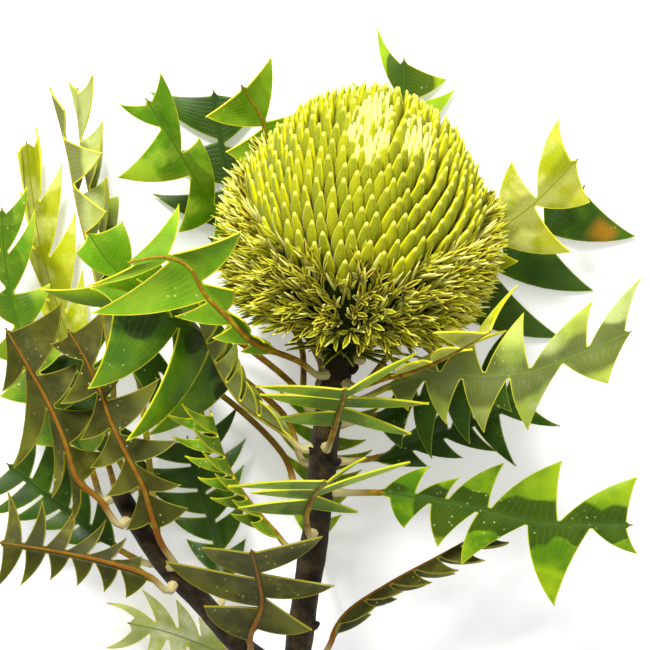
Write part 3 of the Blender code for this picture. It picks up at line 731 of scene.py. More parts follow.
@dataclass(frozen=True)
class LeafFinish:
    """How one kind of leaf looks on its two faces.

    Attributes:
        name: The kind's name.
        upper: Colour of the upper face.
        under: Colour of the lower face.
        patch: Colour of its light or yellowed patches.
        patches: How strong the patches are, from 0 to 1.
        outer: Colour that its lobes turn to at their tips.
        shade: How dark its painted shadow is, in cloudy zones along the rib, from 0 to 1.
        soft: How softly the painted shadow's zones end.
        margin: Colour of the thick margin.
        rib: Colour of the rib.
        veins: How strongly its veins show.
        gloss: Roughness of the upper face.
        wax: Weight of the waxy coat.
        slot: The material slot that it belongs to.
    """

    name: str
    upper: Colour
    under: Colour
    patch: Colour
    patches: float = 0.6
    outer: Colour = (150, 190, 50)
    shade: float = 0.5
    soft: float = 0.2
    margin: Colour = (212, 204, 34)
    rib: Colour = (134, 92, 10)
    veins: float = 0.1
    gloss: float = 0.42
    wax: float = 0.05
    slot: str = "leaf_mid"

    speck = (222, 222, 150)
    burnt = (176, 122, 4)
    wool = (196, 184, 128)

    def face(self, label: str, colour: Colour, roughness: float, coat: float) -> None:
        """Makes the material of one face.

        Args:
            label: Which face.
            colour: Its ground colour.
            roughness: Its roughness.
            coat: The weight of its waxy coat.
        """
        bench = Coating(f"leaf_{self.name}_{label}", roughness=roughness, coat_weight=coat,
                        coat_roughness=0.35)
        tone, grain = bench.mottled(colour, self.patch, self.patches, 85.0)
        lines = Effects.leaf_lines()
        mask = bench.node("ShaderNodeGroup", {"Soft": self.soft}, node_tree=lines).outputs
        _, _, tint = bench.carried("place")
        # deep is a darker copy of the ground colour, for the painted shadow and for each lobe's random
        # darker tint.
        deep, groove_shade = (tuple(part * share for part in colour) for share in (0.5, 0.72))
        tone = bench.mix(bench.times(mask["Outer"], 0.7), tone, self.outer)
        # Painted shadow: darkens the blade in cloudy zones along its rib.
        tone = bench.mix(bench.times(mask["Shade"], self.shade), tone, deep)
        tone = bench.mix(bench.ramp(tint, 0.0, 1.0, 0.0, 0.3), tone, deep)
        pale = bench.mix(0.5, colour, self.margin)
        tone = bench.mix(bench.times(mask["Vein"], self.veins), tone, pale)
        tone = bench.mix(bench.times(mask["Speck"], 0.55), tone, self.speck)
        # On the upper face the rib is drawn as a darker line: painted shade in its groove.
        tone = bench.mix(mask["Rib"], tone, groove_shade if label == "upper" else self.margin)
        tone = bench.mix(mask["Margin"], tone, self.margin)
        tone = bench.mix(bench.times(bench.share("burn"), 0.85), tone, self.burnt)
        bench.cover(tone, bench.math("ADD", bench.times(mask["Vein"], 0.35), bench.times(grain, 0.25)))

    def rib_bark(self) -> None:
        """Makes the material of the leaf's stalk and rib, woolly and pale at its foot."""
        bench = Coating(f"leaf_{self.name}_rib", roughness=0.6)
        light = tuple(0.5 * a + 0.5 * b for a, b in zip(self.rib, self.margin))
        tone, grain = bench.mottled(self.rib, light, 0.7, 260.0)
        along, _, _ = bench.carried("ring")
        tone = bench.mix(bench.ramp(along, 13.0, 3.0, 0.0, 0.85), tone, self.wool)
        bench.cover(tone, grain)

    def dress(self, obj: Piece) -> None:
        """Gives a leaf the materials of its upper face, its lower face and its rib.

        Args:
            obj: The leaf, or a part of it.
        """
        names = [f"leaf_{self.name}_{label}" for label in ("upper", "under", "rib")]
        if names[0] not in bpy.data.materials:
            self.face("upper", self.upper, self.gloss, self.wax)
            self.face("under", self.under, self.gloss + 0.14, 0.0)
            self.rib_bark()
        obj.data.materials.clear()
        for name in names:
            obj.data.materials.append(bpy.data.materials[name])


class Foliage(Enum):
    """The kinds of leaf that the sprig has, by how they look."""

    BRIGHT = LeafFinish(
        "bright", (104, 160, 6), (110, 164, 14), (150, 192, 40), outer=(170, 206, 48), shade=0.3,
        wax=0.1,
        veins=0.2)
    GREEN = LeafFinish(
        "green", (86, 136, 2), (104, 144, 14), (162, 190, 50), outer=(166, 194, 36),
        margin=(196, 196, 30))
    FRESH = LeafFinish(
        "fresh", (84, 132, 0), (104, 146, 12), (156, 194, 20), outer=(182, 214, 12), shade=0.86,
        soft=0.09, gloss=0.36, wax=0.12, margin=(188, 196, 30))
    GLOSSY = LeafFinish(
        "glossy", (66, 112, 0), (78, 112, 4), (116, 156, 6), outer=(116, 158, 6), shade=0.9, soft=0.09,
        gloss=0.36, wax=0.12, margin=(204, 204, 26))
    # Painted shade: a darker copy of the green leaf, for the leaves that lie low or under others in
    # shade.
    DARK = LeafFinish(
        "dark", (44, 80, 0), (50, 80, 0), (76, 110, 0), outer=(66, 102, 0), margin=(130, 148, 16),
        gloss=0.36, wax=0.1, slot="leaf_dark")
    YELLOW = LeafFinish(
        "yellow", (182, 192, 16), (184, 192, 14), (232, 234, 128), 0.9, outer=(226, 226, 60),
        shade=0.45, soft=0.3, margin=(234, 226, 40), slot="leaf_light")
    PALE = LeafFinish(
        "pale", (158, 180, 74), (184, 194, 92), (208, 218, 140), 0.75, outer=(208, 222, 72),
        shade=0.8, soft=0.3, margin=(214, 210, 48), rib=(150, 136, 40), slot="leaf_light")
    MILKY = LeafFinish(
        "milky", (192, 208, 104), (194, 202, 104), (236, 240, 188), 0.9, outer=(222, 232, 128),
        shade=0.3, soft=0.3, slot="leaf_light")
    OLIVE = LeafFinish(
        "olive", (52, 66, 2), (66, 68, 4), (108, 108, 34), 0.8, outer=(98, 104, 24), shade=0.55,
        soft=0.3, margin=(138, 130, 22), rib=(126, 76, 8))


@dataclass(frozen=True)
class LeafPlan:
    """Where one leaf grows and how it is cut, as the sheet shows it.

    Attributes:
        name: The solid that the leaf replaces.
        finish: How the leaf looks.
        foot: The place on its stem that it grows from.
        pairs: How many lobes each side has.
        first: Length of the stalk.
        reach: Longest reach of a lobe off the rib.
        fold: How far the lobes are folded up, in degrees.
        rib: The places that the rib passes.
        up: The way the upper face looks, at the foot and at the tip.
        wing: Half the width of the blade's strip along the rib.
        bulge: How full the outer edge of a lobe is.
        out: The way that the stalk leaves the stem, if not straight to the rib's first place.
        on_shoot: Whether it grows on the side shoot.
        rests: Whether it lies on the floor.
        cuts: Places on the rib where the left and the right lobes start.
        tips: Tips of the left and the right lobes, from the leaf's end down.
        burn: Where the sun has burnt it, if anywhere.
    """

    name: str
    finish: Foliage
    foot: tuple[float, float]
    pairs: int
    first: float
    reach: float
    fold: float
    rib: tuple[Spot, ...]
    up: tuple[Spot, Spot] = ((0, 0, 1), (0, 0, 1))
    wing: float = 1.7
    bulge: float = 0.15
    out: Spot | None = None
    on_shoot: bool = False
    rests: bool = False
    cuts: tuple[Rings, Rings] = ((), ())
    tips: tuple[tuple[Spot | None, ...], tuple[Spot | None, ...]] = ((), ())
    burn: Spot | None = None


LEAF_PLANS: tuple[LeafPlan, ...] = (
    LeafPlan("leaf_front_left", Foliage.BRIGHT, foot=(337, 374), pairs=5, first=13, reach=23, fold=14,
        up=((0.2, 0.3, -0.9), (0.1, -0.1, -1)),
        rib=((300, 362, 60), (252, 341, 66), (231, 320, 68), (205, 294, 70), (188, 266, 72),
         (162, 257, 74), (132, 262, 76)),
        cuts=(((270, 350), (252, 341), (233, 324), (208, 299), (168, 257)), ((268, 349), (249, 337),
         (227, 313), (201, 283), (170, 258))),
        tips=(((87, 286, 78), (91, 313, 70), (175, 316, 66), (212, 338, 64), (240, 352, 62)),
         ((179, 204, 72), (241, 231, 92), (234, 290, 80), (244, 322, 80), (264, 342, 76)))),
    LeafPlan("leaf_upper_left", Foliage.GREEN, foot=(329, 412), pairs=5, first=22, reach=18, fold=8,
        up=((0.35, 0.25, 0.9), (0.1, 0.1, 1)), out=(-1, 0, -0.3),
        rib=((300, 342, 24), (262, 284, 16), (222, 222, 21), (192, 174, 29), (148, 102, 36)),
        cuts=(((275, 300), (246, 260), (218, 216), (192, 176), (162, 127)), ((268, 292), (240, 250),
         (212, 206), (180, 153))),
        tips=(((119, 104, 38), (118, 177, 31), (178, 232, 24), (206, 266, 18), (238, 304, 18)),
         ((160, 73, 38), (199, 138, 30), (250, 196, 20), (280, 258, 11)))),
    LeafPlan("leaf_top_left", Foliage.BRIGHT, foot=(338, 360), pairs=5, first=34, reach=18, fold=0,
        up=((0, 0, -1), (0, 0, -1)), out=(-0.8, 0, -0.6),
        rib=((326, 348, 24), (316, 300, 10), (298, 230, 9), (280, 170, 12), (263, 122, 20),
         (243, 88, 29)),
        tips=(((206, 117, 30), (226, 152, 20)), ((271, 58, 30), (322, 104, 22)))),
    LeafPlan("leaf_low_left", Foliage.DARK, foot=(332, 396), pairs=5, first=34, reach=22, fold=-3,
        out=(-0.6, 0, -0.8), rests=True,
        rib=((320, 362, 18), (290, 310, 5), (254, 235, 4), (226, 165, 4), (214, 94, 4)),
        tips=(((151, 92, 1), (160, 152, 2), (153, 194, 2)), ((262, 96, 3), (268, 150, 3)))),
    LeafPlan("leaf_top", Foliage.FRESH, foot=(338, 374), pairs=6, first=42, reach=18, fold=-3,
        out=(0.15, 0, -1), rests=True,
        rib=((339, 354, 25), (349, 318, 6), (380, 210, 4), (402, 120, 4), (404, 62, 5)),
        tips=(((378, 29, 1),), ((446, 79, 1),))),
    LeafPlan("leaf_upper_right", Foliage.YELLOW, foot=(336, 388), pairs=4, first=40, reach=18, fold=-3,
        up=((-0.1, 0.2, 1), (0.3, 0.3, 0.9)), out=(0.9, 0, -0.4),
        rib=((374, 374, 38), (406, 330, 20), (452, 274, 9), (503, 228, 25), (536, 202, 33),
         (575, 162, 40)),
        tips=(((558, 119, 36), (512, 161, 34)), ((590, 202, 36), (571, 252, 28)))),
    LeafPlan("leaf_low_right", Foliage.DARK, foot=(339, 360), pairs=4, first=42, reach=20, fold=0,
        out=(0.95, 0, -0.5), rests=True,
        rib=((362, 351, 22), (398, 332, 6), (460, 290, 5), (530, 240, 6), (583, 188, 8)),
        tips=(((560, 150, 6), (520, 180, 6)), ((636, 236, 4), (593, 290, 3), (562, 338, 3))),
        burn=(604, 234, 5)),
    LeafPlan("leaf_front_top", Foliage.GREEN, foot=(336, 446), pairs=3, first=22, reach=24, fold=6,
        bulge=0.3, up=((0, 1, 0.2), (0, 1, 0.1)),
        rib=((334, 430, 64), (338, 414, 78), (343, 400, 90), (345, 389, 102)),
        tips=(((256, 386, 108), (260, 394, 95), (276, 418, 83)), ((417, 354, 106), (429, 404, 94),
         (411, 434, 83)))),
    LeafPlan("leaf_front_middle", Foliage.GREEN, foot=(316, 530), pairs=3, first=19, reach=24, fold=6,
        bulge=0.28, up=((0, 1, 0.1), (0.1, 1, 0)), rib=((306, 516, 58), (313, 496, 74), (324, 481, 92)),
        tips=(((228, 487, 98), (252, 492, 84), (238, 508, 70)), ((366, 457, 100), (410, 462, 86),
         (358, 512, 70)))),
    LeafPlan("leaf_front_low", Foliage.OLIVE, foot=(248, 650), pairs=3, first=15, reach=24, fold=8,
        bulge=0.32, up=((0.1, 0.5, -0.8), (0, 0.6, -0.8)), out=(0, 0, 1), on_shoot=True,
        rib=((251, 634, 48), (262, 605, 58), (258, 576, 68), (252, 552, 78)),
        tips=(((202, 547, 82), (166, 562, 70), (204, 606, 58)), ((322, 536, 80), (334, 586, 68),
         (312, 630, 56)))),
    LeafPlan("leaf_pale_left", Foliage.PALE, foot=(320, 450), pairs=6, first=8, reach=17, fold=36,
        up=((0.7, 0.75, 0), (0.85, 0.5, 0)),
        rib=((288, 434, 47), (242, 402, 47), (214, 358, 47), (200, 322, 48))),
    LeafPlan("leaf_left_middle", Foliage.GREEN, foot=(314, 545), pairs=6, first=10, reach=18, fold=36,
        up=((-0.6, -0.8, 0.3), (-0.9, -0.3, 0.3)),
        rib=((290, 548, 42), (246, 500, 47), (224, 460, 47), (211, 415, 46))),
    LeafPlan("leaf_back", Foliage.GREEN, foot=(312, 566), pairs=6, first=12, reach=18, fold=4,
        rib=((310, 545, 19), (314, 510, 15), (322, 460, 13), (330, 412, 13)),
        tips=((), (None, (366, 440, 15)))),
    LeafPlan("leaf_shade_left", Foliage.DARK, foot=(318, 500), pairs=2, first=58, reach=24, fold=6,
        bulge=0.2, out=(-1, 0, -0.7),
        rib=((284, 456, 26), (240, 410, 14), (207, 386, 13), (166, 370, 20), (130, 366, 24)),
        tips=(((158, 428, 24), (204, 432, 15)), ((112, 326, 24), (168, 318, 18)))),
    LeafPlan("leaf_bright_left", Foliage.BRIGHT, foot=(327, 424), pairs=3, first=66, reach=20, fold=4,
        wing=2.4, bulge=0.2, out=(-1, 0, -1.2),
        rib=((292, 384, 18), (236, 340, 12), (180, 310, 26), (136, 288, 47), (108, 262, 51),
         (90, 236, 53)),
        tips=(((76, 252, 53), (40, 289, 50), (112, 322, 47)), ((122, 222, 53), (150, 250, 47),
         (182, 270, 28)))),
    LeafPlan("leaf_right_edge", Foliage.YELLOW, foot=(345, 380), pairs=3, first=26, reach=17, fold=0,
        bulge=0.1, up=((0.1, 1, 0.2), (-0.2, 1, 0.1)), out=(0.7, 0, 0.7),
        rib=((385, 378, 66), (432, 362, 82), (466, 345, 96), (488, 332, 106)),
        tips=(((434, 332, 118),), ((518, 286, 102),))),
    LeafPlan("leaf_right", Foliage.PALE, foot=(341, 396), pairs=5, first=14, reach=21, fold=6,
        bulge=0.11, up=((0, 0, 1), (0.1, -0.1, 1)),
        rib=((400, 382, 54), (443, 375, 60), (487, 376, 63), (532, 371, 66), (580, 353, 68),
         (628, 333, 70)),
        cuts=(((396, 380), (440, 375), (484, 375), (531, 370), (588, 344)), ((388, 382), (424, 377),
         (462, 376), (508, 375), (562, 363))),
        tips=(((641, 278, 72), (592, 302, 70), (524, 313, 70), (474, 334, 64), (436, 352, 58)),
         ((608, 383, 66), (528, 430, 58), (484, 432, 58), (446, 424, 56), (408, 410, 52)))),
    LeafPlan("leaf_low_side_right", Foliage.FRESH, foot=(334, 492), pairs=6, first=20, reach=22, fold=8,
        up=((0, 0.1, 1), (0, 0, 1)),
        rib=((385, 493, 42), (431, 500, 46), (480, 509, 50), (524, 521, 52), (580, 525, 54),
         (628, 525, 54)),
        cuts=(((385, 493), (416, 499), (447, 502), (489, 509), (559, 521)), ((390, 495), (430, 502),
         (477, 511), (526, 523), (591, 527))),
        tips=(((637, 477, 56), (562, 461, 56), (504, 463, 54), (459, 478, 52)), ((637, 553, 52),
         (554, 606, 48), (461, 565, 44), (438, 546, 44), (404, 528, 42)))),
    LeafPlan("leaf_right_shade", Foliage.DARK, foot=(339, 424), pairs=4, first=16, reach=18, fold=0,
        bulge=0.16, out=(1, 0, -0.5),
        rib=((386, 412, 30), (430, 396, 38), (474, 384, 42), (505, 366, 44)),
        tips=(((508, 330, 44),), ((512, 412, 40), (470, 444, 37), (432, 458, 34), (402, 448, 31)))),
    LeafPlan("leaf_right_fill", Foliage.DARK, foot=(336, 462), pairs=5, first=18, reach=15, fold=8,
        bulge=0.1, up=((0.2, -0.2, 1), (0.2, -0.3, 1)), out=(1, 0, -0.4),
        rib=((385, 456, 28), (430, 440, 26), (480, 420, 30), (525, 398, 34)),
        tips=((), (None, (516, 466, 34)))),
    LeafPlan("leaf_bottom_right", Foliage.OLIVE, foot=(307, 655), pairs=6, first=14, reach=13, fold=38,
        up=((0.5, -0.8, 0.2), (0.5, -0.8, 0.1)), out=(1, 0, 0.2),
        rib=((347, 616, 34), (389, 586, 34), (442, 556, 34), (484, 532, 34))),
    LeafPlan("side_leaf_big_left", Foliage.OLIVE, foot=(132, 516), pairs=4, first=8, reach=20, fold=10,
        bulge=0.2, up=((0.1, -0.1, -1), (0.1, 0, -1)), out=(-0.6, -0.3, 0.6), on_shoot=True,
        rib=((100, 500, 50), (78, 480, 52), (66, 444, 53), (50, 406, 53), (29, 368, 53), (8, 332, 53)),
        cuts=(((84, 487), (67, 452), (50, 408), (27, 367)), ((80, 484), (66, 446), (51, 408),
         (33, 376))),
        tips=(((2, 392, 50), (14, 468, 46), (52, 498, 46), (72, 522, 47)), ((61, 303, 55),
         (78, 362, 49), (94, 409, 47), (104, 452, 46)))),
    LeafPlan("side_leaf_middle", Foliage.OLIVE, foot=(166, 568), pairs=6, first=10, reach=18, fold=10,
        bulge=0.18, up=((0.1, -0.1, -1), (0.1, 0, -1)), on_shoot=True,
        rib=((161, 543, 50.5), (151, 512, 54), (143, 486, 56), (127, 455, 57), (112, 424, 57),
         (99, 388, 57), (85, 358, 57), (70, 333, 57)),
        cuts=(((154, 522), (143, 486), (128, 457), (114, 428), (101, 392), (86, 360)), ((156, 528),
         (146, 494), (132, 466), (117, 435), (104, 400), (90, 369))),
        tips=(((50, 344, 56), (60, 404, 55), (80, 440, 54), (90, 468, 53), (106, 496, 52),
         (126, 530, 50)), ((101, 311, 57), (128, 348, 55), (159, 379, 54), (178, 440, 53),
         (181, 485, 52), (188, 508, 50)))),
    LeafPlan("side_leaf_low", Foliage.OLIVE, foot=(176, 580), pairs=6, first=12, reach=17, fold=10,
        bulge=0.14, up=((0, -0.3, -1), (0, -0.3, -1)), on_shoot=True,
        rib=((150, 577, 46), (105, 562, 45), (52, 551, 44), (2, 543, 44)),
        tips=(((-6, 590, 40), (20, 586, 40), (50, 580, 41), (77, 586, 41), (104, 592, 42),
         (126, 598, 43)), ((8, 492, 41), (42, 500, 41), (76, 505, 41), (106, 520, 41), (126, 538, 42),
         (142, 556, 43)))),
    LeafPlan("leaf_glossy", Foliage.GLOSSY, foot=(321, 466), pairs=3, first=44, reach=24, fold=4,
        bulge=0.2, up=((0, 0, 1), (-0.1, 0.1, 1)), out=(-1, 0, -0.7),
        rib=((286, 418, 30), (240, 376, 24), (208, 344, 38), (178, 324, 52), (148, 312, 58),
         (112, 308, 63)),
        cuts=(((240, 376), (212, 347), (180, 325)), ((240, 376), (206, 342), (170, 320))),
        tips=(((88, 389, 65), (127, 441, 63), (148, 435, 33)), ((90, 288, 63), (136, 280, 58),
         (196, 300, 40)))),
    LeafPlan("side_leaf_upright", Foliage.PALE, foot=(120, 495), pairs=5, first=44, reach=12, fold=50,
        wing=2.6, bulge=0.1, up=((0.9, 0.1, 0.1), (0.9, 0.2, 0)), out=(0.9, 0.3, -0.4), on_shoot=True,
        rib=((120, 462, 38), (110, 340, 33), (94, 262, 33), (80, 210, 34), (68, 150, 36), (52, 92, 38)),
        tips=(((64, 110, 45), (102, 153, 44), (106, 212, 42), (119, 238, 40), (126, 300, 40)),
         ((58, 112, 30), (84, 152, 28), (105, 179, 27), (125, 227, 26), (122, 272, 25)))),
    LeafPlan("side_leaf_hooked", Foliage.PALE, foot=(136, 522), pairs=5, first=58, reach=12, fold=50,
        wing=2.4, bulge=0.1, up=((0.9, 0, -0.1), (0.9, 0.1, 0)), out=(1, 0.6, -0.6), on_shoot=True,
        rib=((150, 470, 24), (134, 350, 12), (108, 250, 14), (88, 180, 18), (80, 126, 21),
         (78, 92, 23)),
        tips=(((69, 82, 15), (102, 136, 12), (118, 196, 9)), ((92, 75, 31), (102, 121, 29),
         (106, 178, 26)))),
    LeafPlan("side_leaf_yellow", Foliage.YELLOW, foot=(126, 505), pairs=5, first=42, reach=13, fold=26,
        wing=3.2, bulge=0.1, up=((0.5, 0.1, 0.8), (0.5, 0.1, 0.8)), out=(-0.5, 0, -1), on_shoot=True,
        rib=((110, 470, 13), (72, 350, 6), (52, 290, 7), (38, 236, 7), (31, 186, 8), (27, 146, 9)),
        tips=(((17, 152, 12), (20, 192, 12), (24, 246, 12), (34, 296, 12)), ((35, 127, 10),
         (62, 163, 9), (75, 213, 8), (82, 270, 7)))),
    LeafPlan("side_leaf_far_left", Foliage.GREEN, foot=(120, 494), pairs=6, first=22, reach=18, fold=6,
        wing=1.9, bulge=0.16, out=(-1, -0.3, -0.3), on_shoot=True,
        rib=((88, 460, 32), (46, 396, 26), (16, 318, 25), (4, 250, 26), (2, 212, 27)),
        tips=(((-4, 204, 26), (-10, 250, 24), (-12, 300, 22), (-10, 352, 23), (0, 396, 25),
         (22, 440, 28)), ((27, 187, 27), (35, 209, 26), (50, 284, 23), (66, 344, 23), (84, 392, 25),
         (106, 432, 29)))),
    LeafPlan("side_leaf_pale_low", Foliage.MILKY, foot=(240, 647), pairs=4, first=12, reach=16, fold=8,
        wing=2.8, bulge=0.2, up=((0, 0.1, 1), (0, 0, 1)), out=(-0.3, -0.5, -1), on_shoot=True,
        rib=((222, 652, 16), (190, 640, 12), (160, 630, 11), (132, 624, 12)),
        tips=(((106, 648, 9), (142, 664, 9), (172, 674, 10), (206, 694, 12)), ((107, 603, 12),
         (142, 590, 12), (176, 600, 13)))),
    LeafPlan("side_leaf_under", Foliage.DARK, foot=(150, 545), pairs=5, first=34, reach=22, fold=4,
        bulge=0.2, out=(-0.3, 0.3, -1), on_shoot=True,
        rib=((144, 500, 22), (126, 455, 18), (100, 405, 17), (70, 350, 17)),
        tips=((), (None, None, (130, 400, 15), (134, 434, 15), (160, 474, 17)))),
    LeafPlan("side_leaf_shade_low", Foliage.DARK, foot=(160, 560), pairs=5, first=22, reach=19, fold=4,
        bulge=0.2, out=(-1, 0.1, -0.8), on_shoot=True,
        rib=((120, 550, 25), (84, 524, 20), (46, 494, 18), (10, 466, 17))),
    LeafPlan("side_leaf_shade_right", Foliage.DARK, foot=(214, 615), pairs=5, first=14, reach=20,
        fold=4, bulge=0.2, out=(0.6, 0.6, -1), on_shoot=True,
        rib=((222, 576, 16), (214, 530, 12), (200, 486, 10), (188, 440, 8))),
)


@dataclass(frozen=True)
class BarkFinish:
    """Brown velvety bark of the stem and the side shoot.

    Attributes:
        name: The material's name.
        deep: Colour in its hollows.
        ground: Its main colour.
        wool: Colour of its pale woolly bloom, partly the velvet's own hairs and partly painted sheen.
        wool_sheen_amount: How strong the bloom and its painted sheen are.
    """

    name: str
    deep: Colour = (16, 12, 4)
    ground: Colour = (46, 34, 10)
    wool: Colour = (104, 88, 50)
    wool_sheen_amount: float = 0.4

    def material(self) -> Material:
        """Makes the bark's material.

        Returns:
            The material.
        """
        bench = Coating(self.name, roughness=0.85, sheen_weight=0.08, sheen_roughness=0.5)
        tone, grain = bench.mottled(self.ground, self.deep, 0.85, 170.0)
        furrow = bench.noise(320.0, 5.0, rough=0.7)
        # The pale wool patches are partly the velvet's own hairs and partly painted sheen.
        wool = bench.times(bench.ramp(bench.noise(110.0, 4.0), 0.48, 0.7), self.wool_sheen_amount)
        tone = bench.mix(wool, tone, self.wool)
        tone = bench.mix(bench.ramp(furrow, 0.52, 0.38, 0.0, 0.7), tone, self.deep)
        return bench.cover(tone, bench.math("ADD", furrow, bench.times(grain, 0.6)), 0.8, 0.0006)


@dataclass
class Stems:
    """The main stem and the side shoot that forks from it.

    Attributes:
        head: The head that the main stem carries.
        run: Places that the main stem passes, from the head to its cut end.
        shoot_run: Places that the side shoot passes.
        radius: The main stem's radius at its top.
        shoot_radius: The side shoot's radius where it starts.
        gap: How far the leaves' feet stand off the bark.
        buds: Places of the small buds on the bark, each with its size.
        bud_shape: Height and radius of a bud's rings.
        step: Length between the bark's rings.
    """

    head: "FlowerHead"
    run: tuple[Spot, ...] = (
        (337, 376, 48), (328, 420, 45), (322, 470, 42), (316, 530, 38), (305, 600, 32), (298, 650, 27),
        (293, 695, 14), (288, 735, 3.4),
    )
    shoot_run: tuple[Spot, ...] = (
        (296, 676, 23), (272, 668, 26), (240, 645, 30), (200, 600, 36), (165, 565, 40), (138, 525, 42),
        (118, 490, 44),
    )
    radius: float = 4.7
    shoot_radius: float = 4.2
    gap: float = 0.3
    buds: tuple[Spot, ...] = (
        (321, 356, 1.0), (352, 369, 1.1), (312, 452, 0.9), (342, 464, 0.9), (313, 626, 1.0),
    )
    bud_shape: Rings = ((0, 1.5), (1, 1.75), (2, 1.6), (2.9, 1.1), (3.5, 0.5))
    step: float = 1.6

    def __post_init__(self) -> None:
        """Runs the two lines."""
        top = [self.head.point(self.head.neck - below, 0, 0) for below in (self.gap, 3.0)]
        self.main = GrowthLine(top + [SHEET.at(*place) for place in self.run])
        self.shoot = GrowthLine([SHEET.at(*place) for place in self.shoot_run])

    def thickness(self, u: float, on_shoot: bool) -> float:
        """Gives a stem's radius.

        Args:
            u: Length along the stem.
            on_shoot: Whether the side shoot is meant.

        Returns:
            The radius.
        """
        if on_shoot:
            return self.shoot_radius - u / self.shoot.length
        swell = 0.35 * math.sin(u / 9.0) ** 2 * min(1.0, u / 12.0)
        return self.radius - 0.5 * u / self.main.length + swell

    @staticmethod
    def ring(line: GrowthLine, u: float) -> Ways:
        """Gives the middle and the two ways of a ring round a line.

        Args:
            line: The line.
            u: Length along it.

        Returns:
            The middle, the way across and the way above.
        """
        ahead = line.heading(min(max(u, 0.7), line.length - 0.7))
        across = ahead.cross(Vector((0.1, 0.05, 1.0))).normalized()
        return line.place(u), across, across.cross(ahead)

    def wrap(self, line: GrowthLine, sides: int) -> Piece:
        """Wraps ridged bark round one of the two lines.

        Args:
            line: Its line.
            sides: Sides of the tube.

        Returns:
            The tube.
        """

        def radius(u: float, turn: float) -> float:
            """Gives the bark's radius, with low ridges along it."""
            ridge = 0.05 * math.sin(5 * turn + u * 0.11) + 0.035 * math.sin(9 * turn - u * 0.17 + 1.0)
            knot = 0.04 * math.sin(u * 0.9 + 2.0 * math.sin(turn))
            bare = self.thickness(u, line is self.shoot) - 0.05
            return bare * (1.0 + ridge * 0.35 + knot * 0.3)

        steps = int(line.length / self.step)
        stations = [line.length * k / steps for k in range(steps + 1)]
        return Moves.tube(stations, lambda u: self.ring(line, u), radius, sides)

    def bud(self, x: float, y: float, size: float) -> Piece:
        """Models one blunt bud that sits on the bark.

        Args:
            x: Its place across the sheet.
            y: Its place down the sheet.
            size: Its size, 1 for the usual.

        Returns:
            The bud.
        """
        u = self.main.nearest(x, y)
        centre, ahead = self.main.place(u), self.main.heading(u)
        away = square_to(SHEET.at(x, y, centre.z + 1.5) - centre, ahead)
        root = centre + away * (self.thickness(u, False) - 1.2)
        way = (away * 0.8 - ahead * 0.6).normalized()
        around = way.cross(away).normalized()
        across = around.cross(way)
        return Moves.tube(
            [far for far, _ in self.bud_shape],
            lambda w: (root + way * (w * size), around, across),
            lambda w, turn: blend(w, self.bud_shape) * size * (1 + 0.06 * math.cos(3 * turn)), 10,
        )

    def cut_end(self) -> Piece:
        """Models the pale wood that shows where the stem was cut.

        Returns:
            The wood.
        """
        end = self.main.length
        ahead, inner = self.main.heading(end - 0.7), self.main.place(end - 1.0)
        _, across, above = self.ring(self.main, end)
        wide = self.thickness(end, False)
        return Moves.tube(
            (0.0, 1.05, 1.2), lambda w: (inner + ahead * w, across, above),
            lambda w, turn: wide * (0.8 if w < 1.1 else 0.74), 20,
        )

    def build(self) -> list[Piece]:
        """Builds both stems, their buds and the cut end.

        Returns:
            The pieces.
        """
        bark = BarkFinish("stem_bark")
        wood = BarkFinish("cut_wood", (150, 120, 74), (206, 184, 134), (226, 212, 172), 0.6)
        scale = BarkFinish("bud_bark", (16, 10, 6), (44, 30, 18), wool_sheen_amount=0.15)
        stem = Moves.join([self.wrap(self.main, 26), self.wrap(self.shoot, 22)])
        buds = Moves.join([self.bud(*bud) for bud in self.buds])
        made = []
        for piece, name, coat, nodes, sharp in (
            (stem, "stem_bark_skin", bark, ["stem"], 60), (buds, "stem_buds", scale, (), 60),
            (self.cut_end(), "stem_cut", wood, (), 30),
        ):
            piece.data.materials.append(coat.material())
            made.append(Moves.finish(piece, name, "bark", nodes, sharp))
        return made


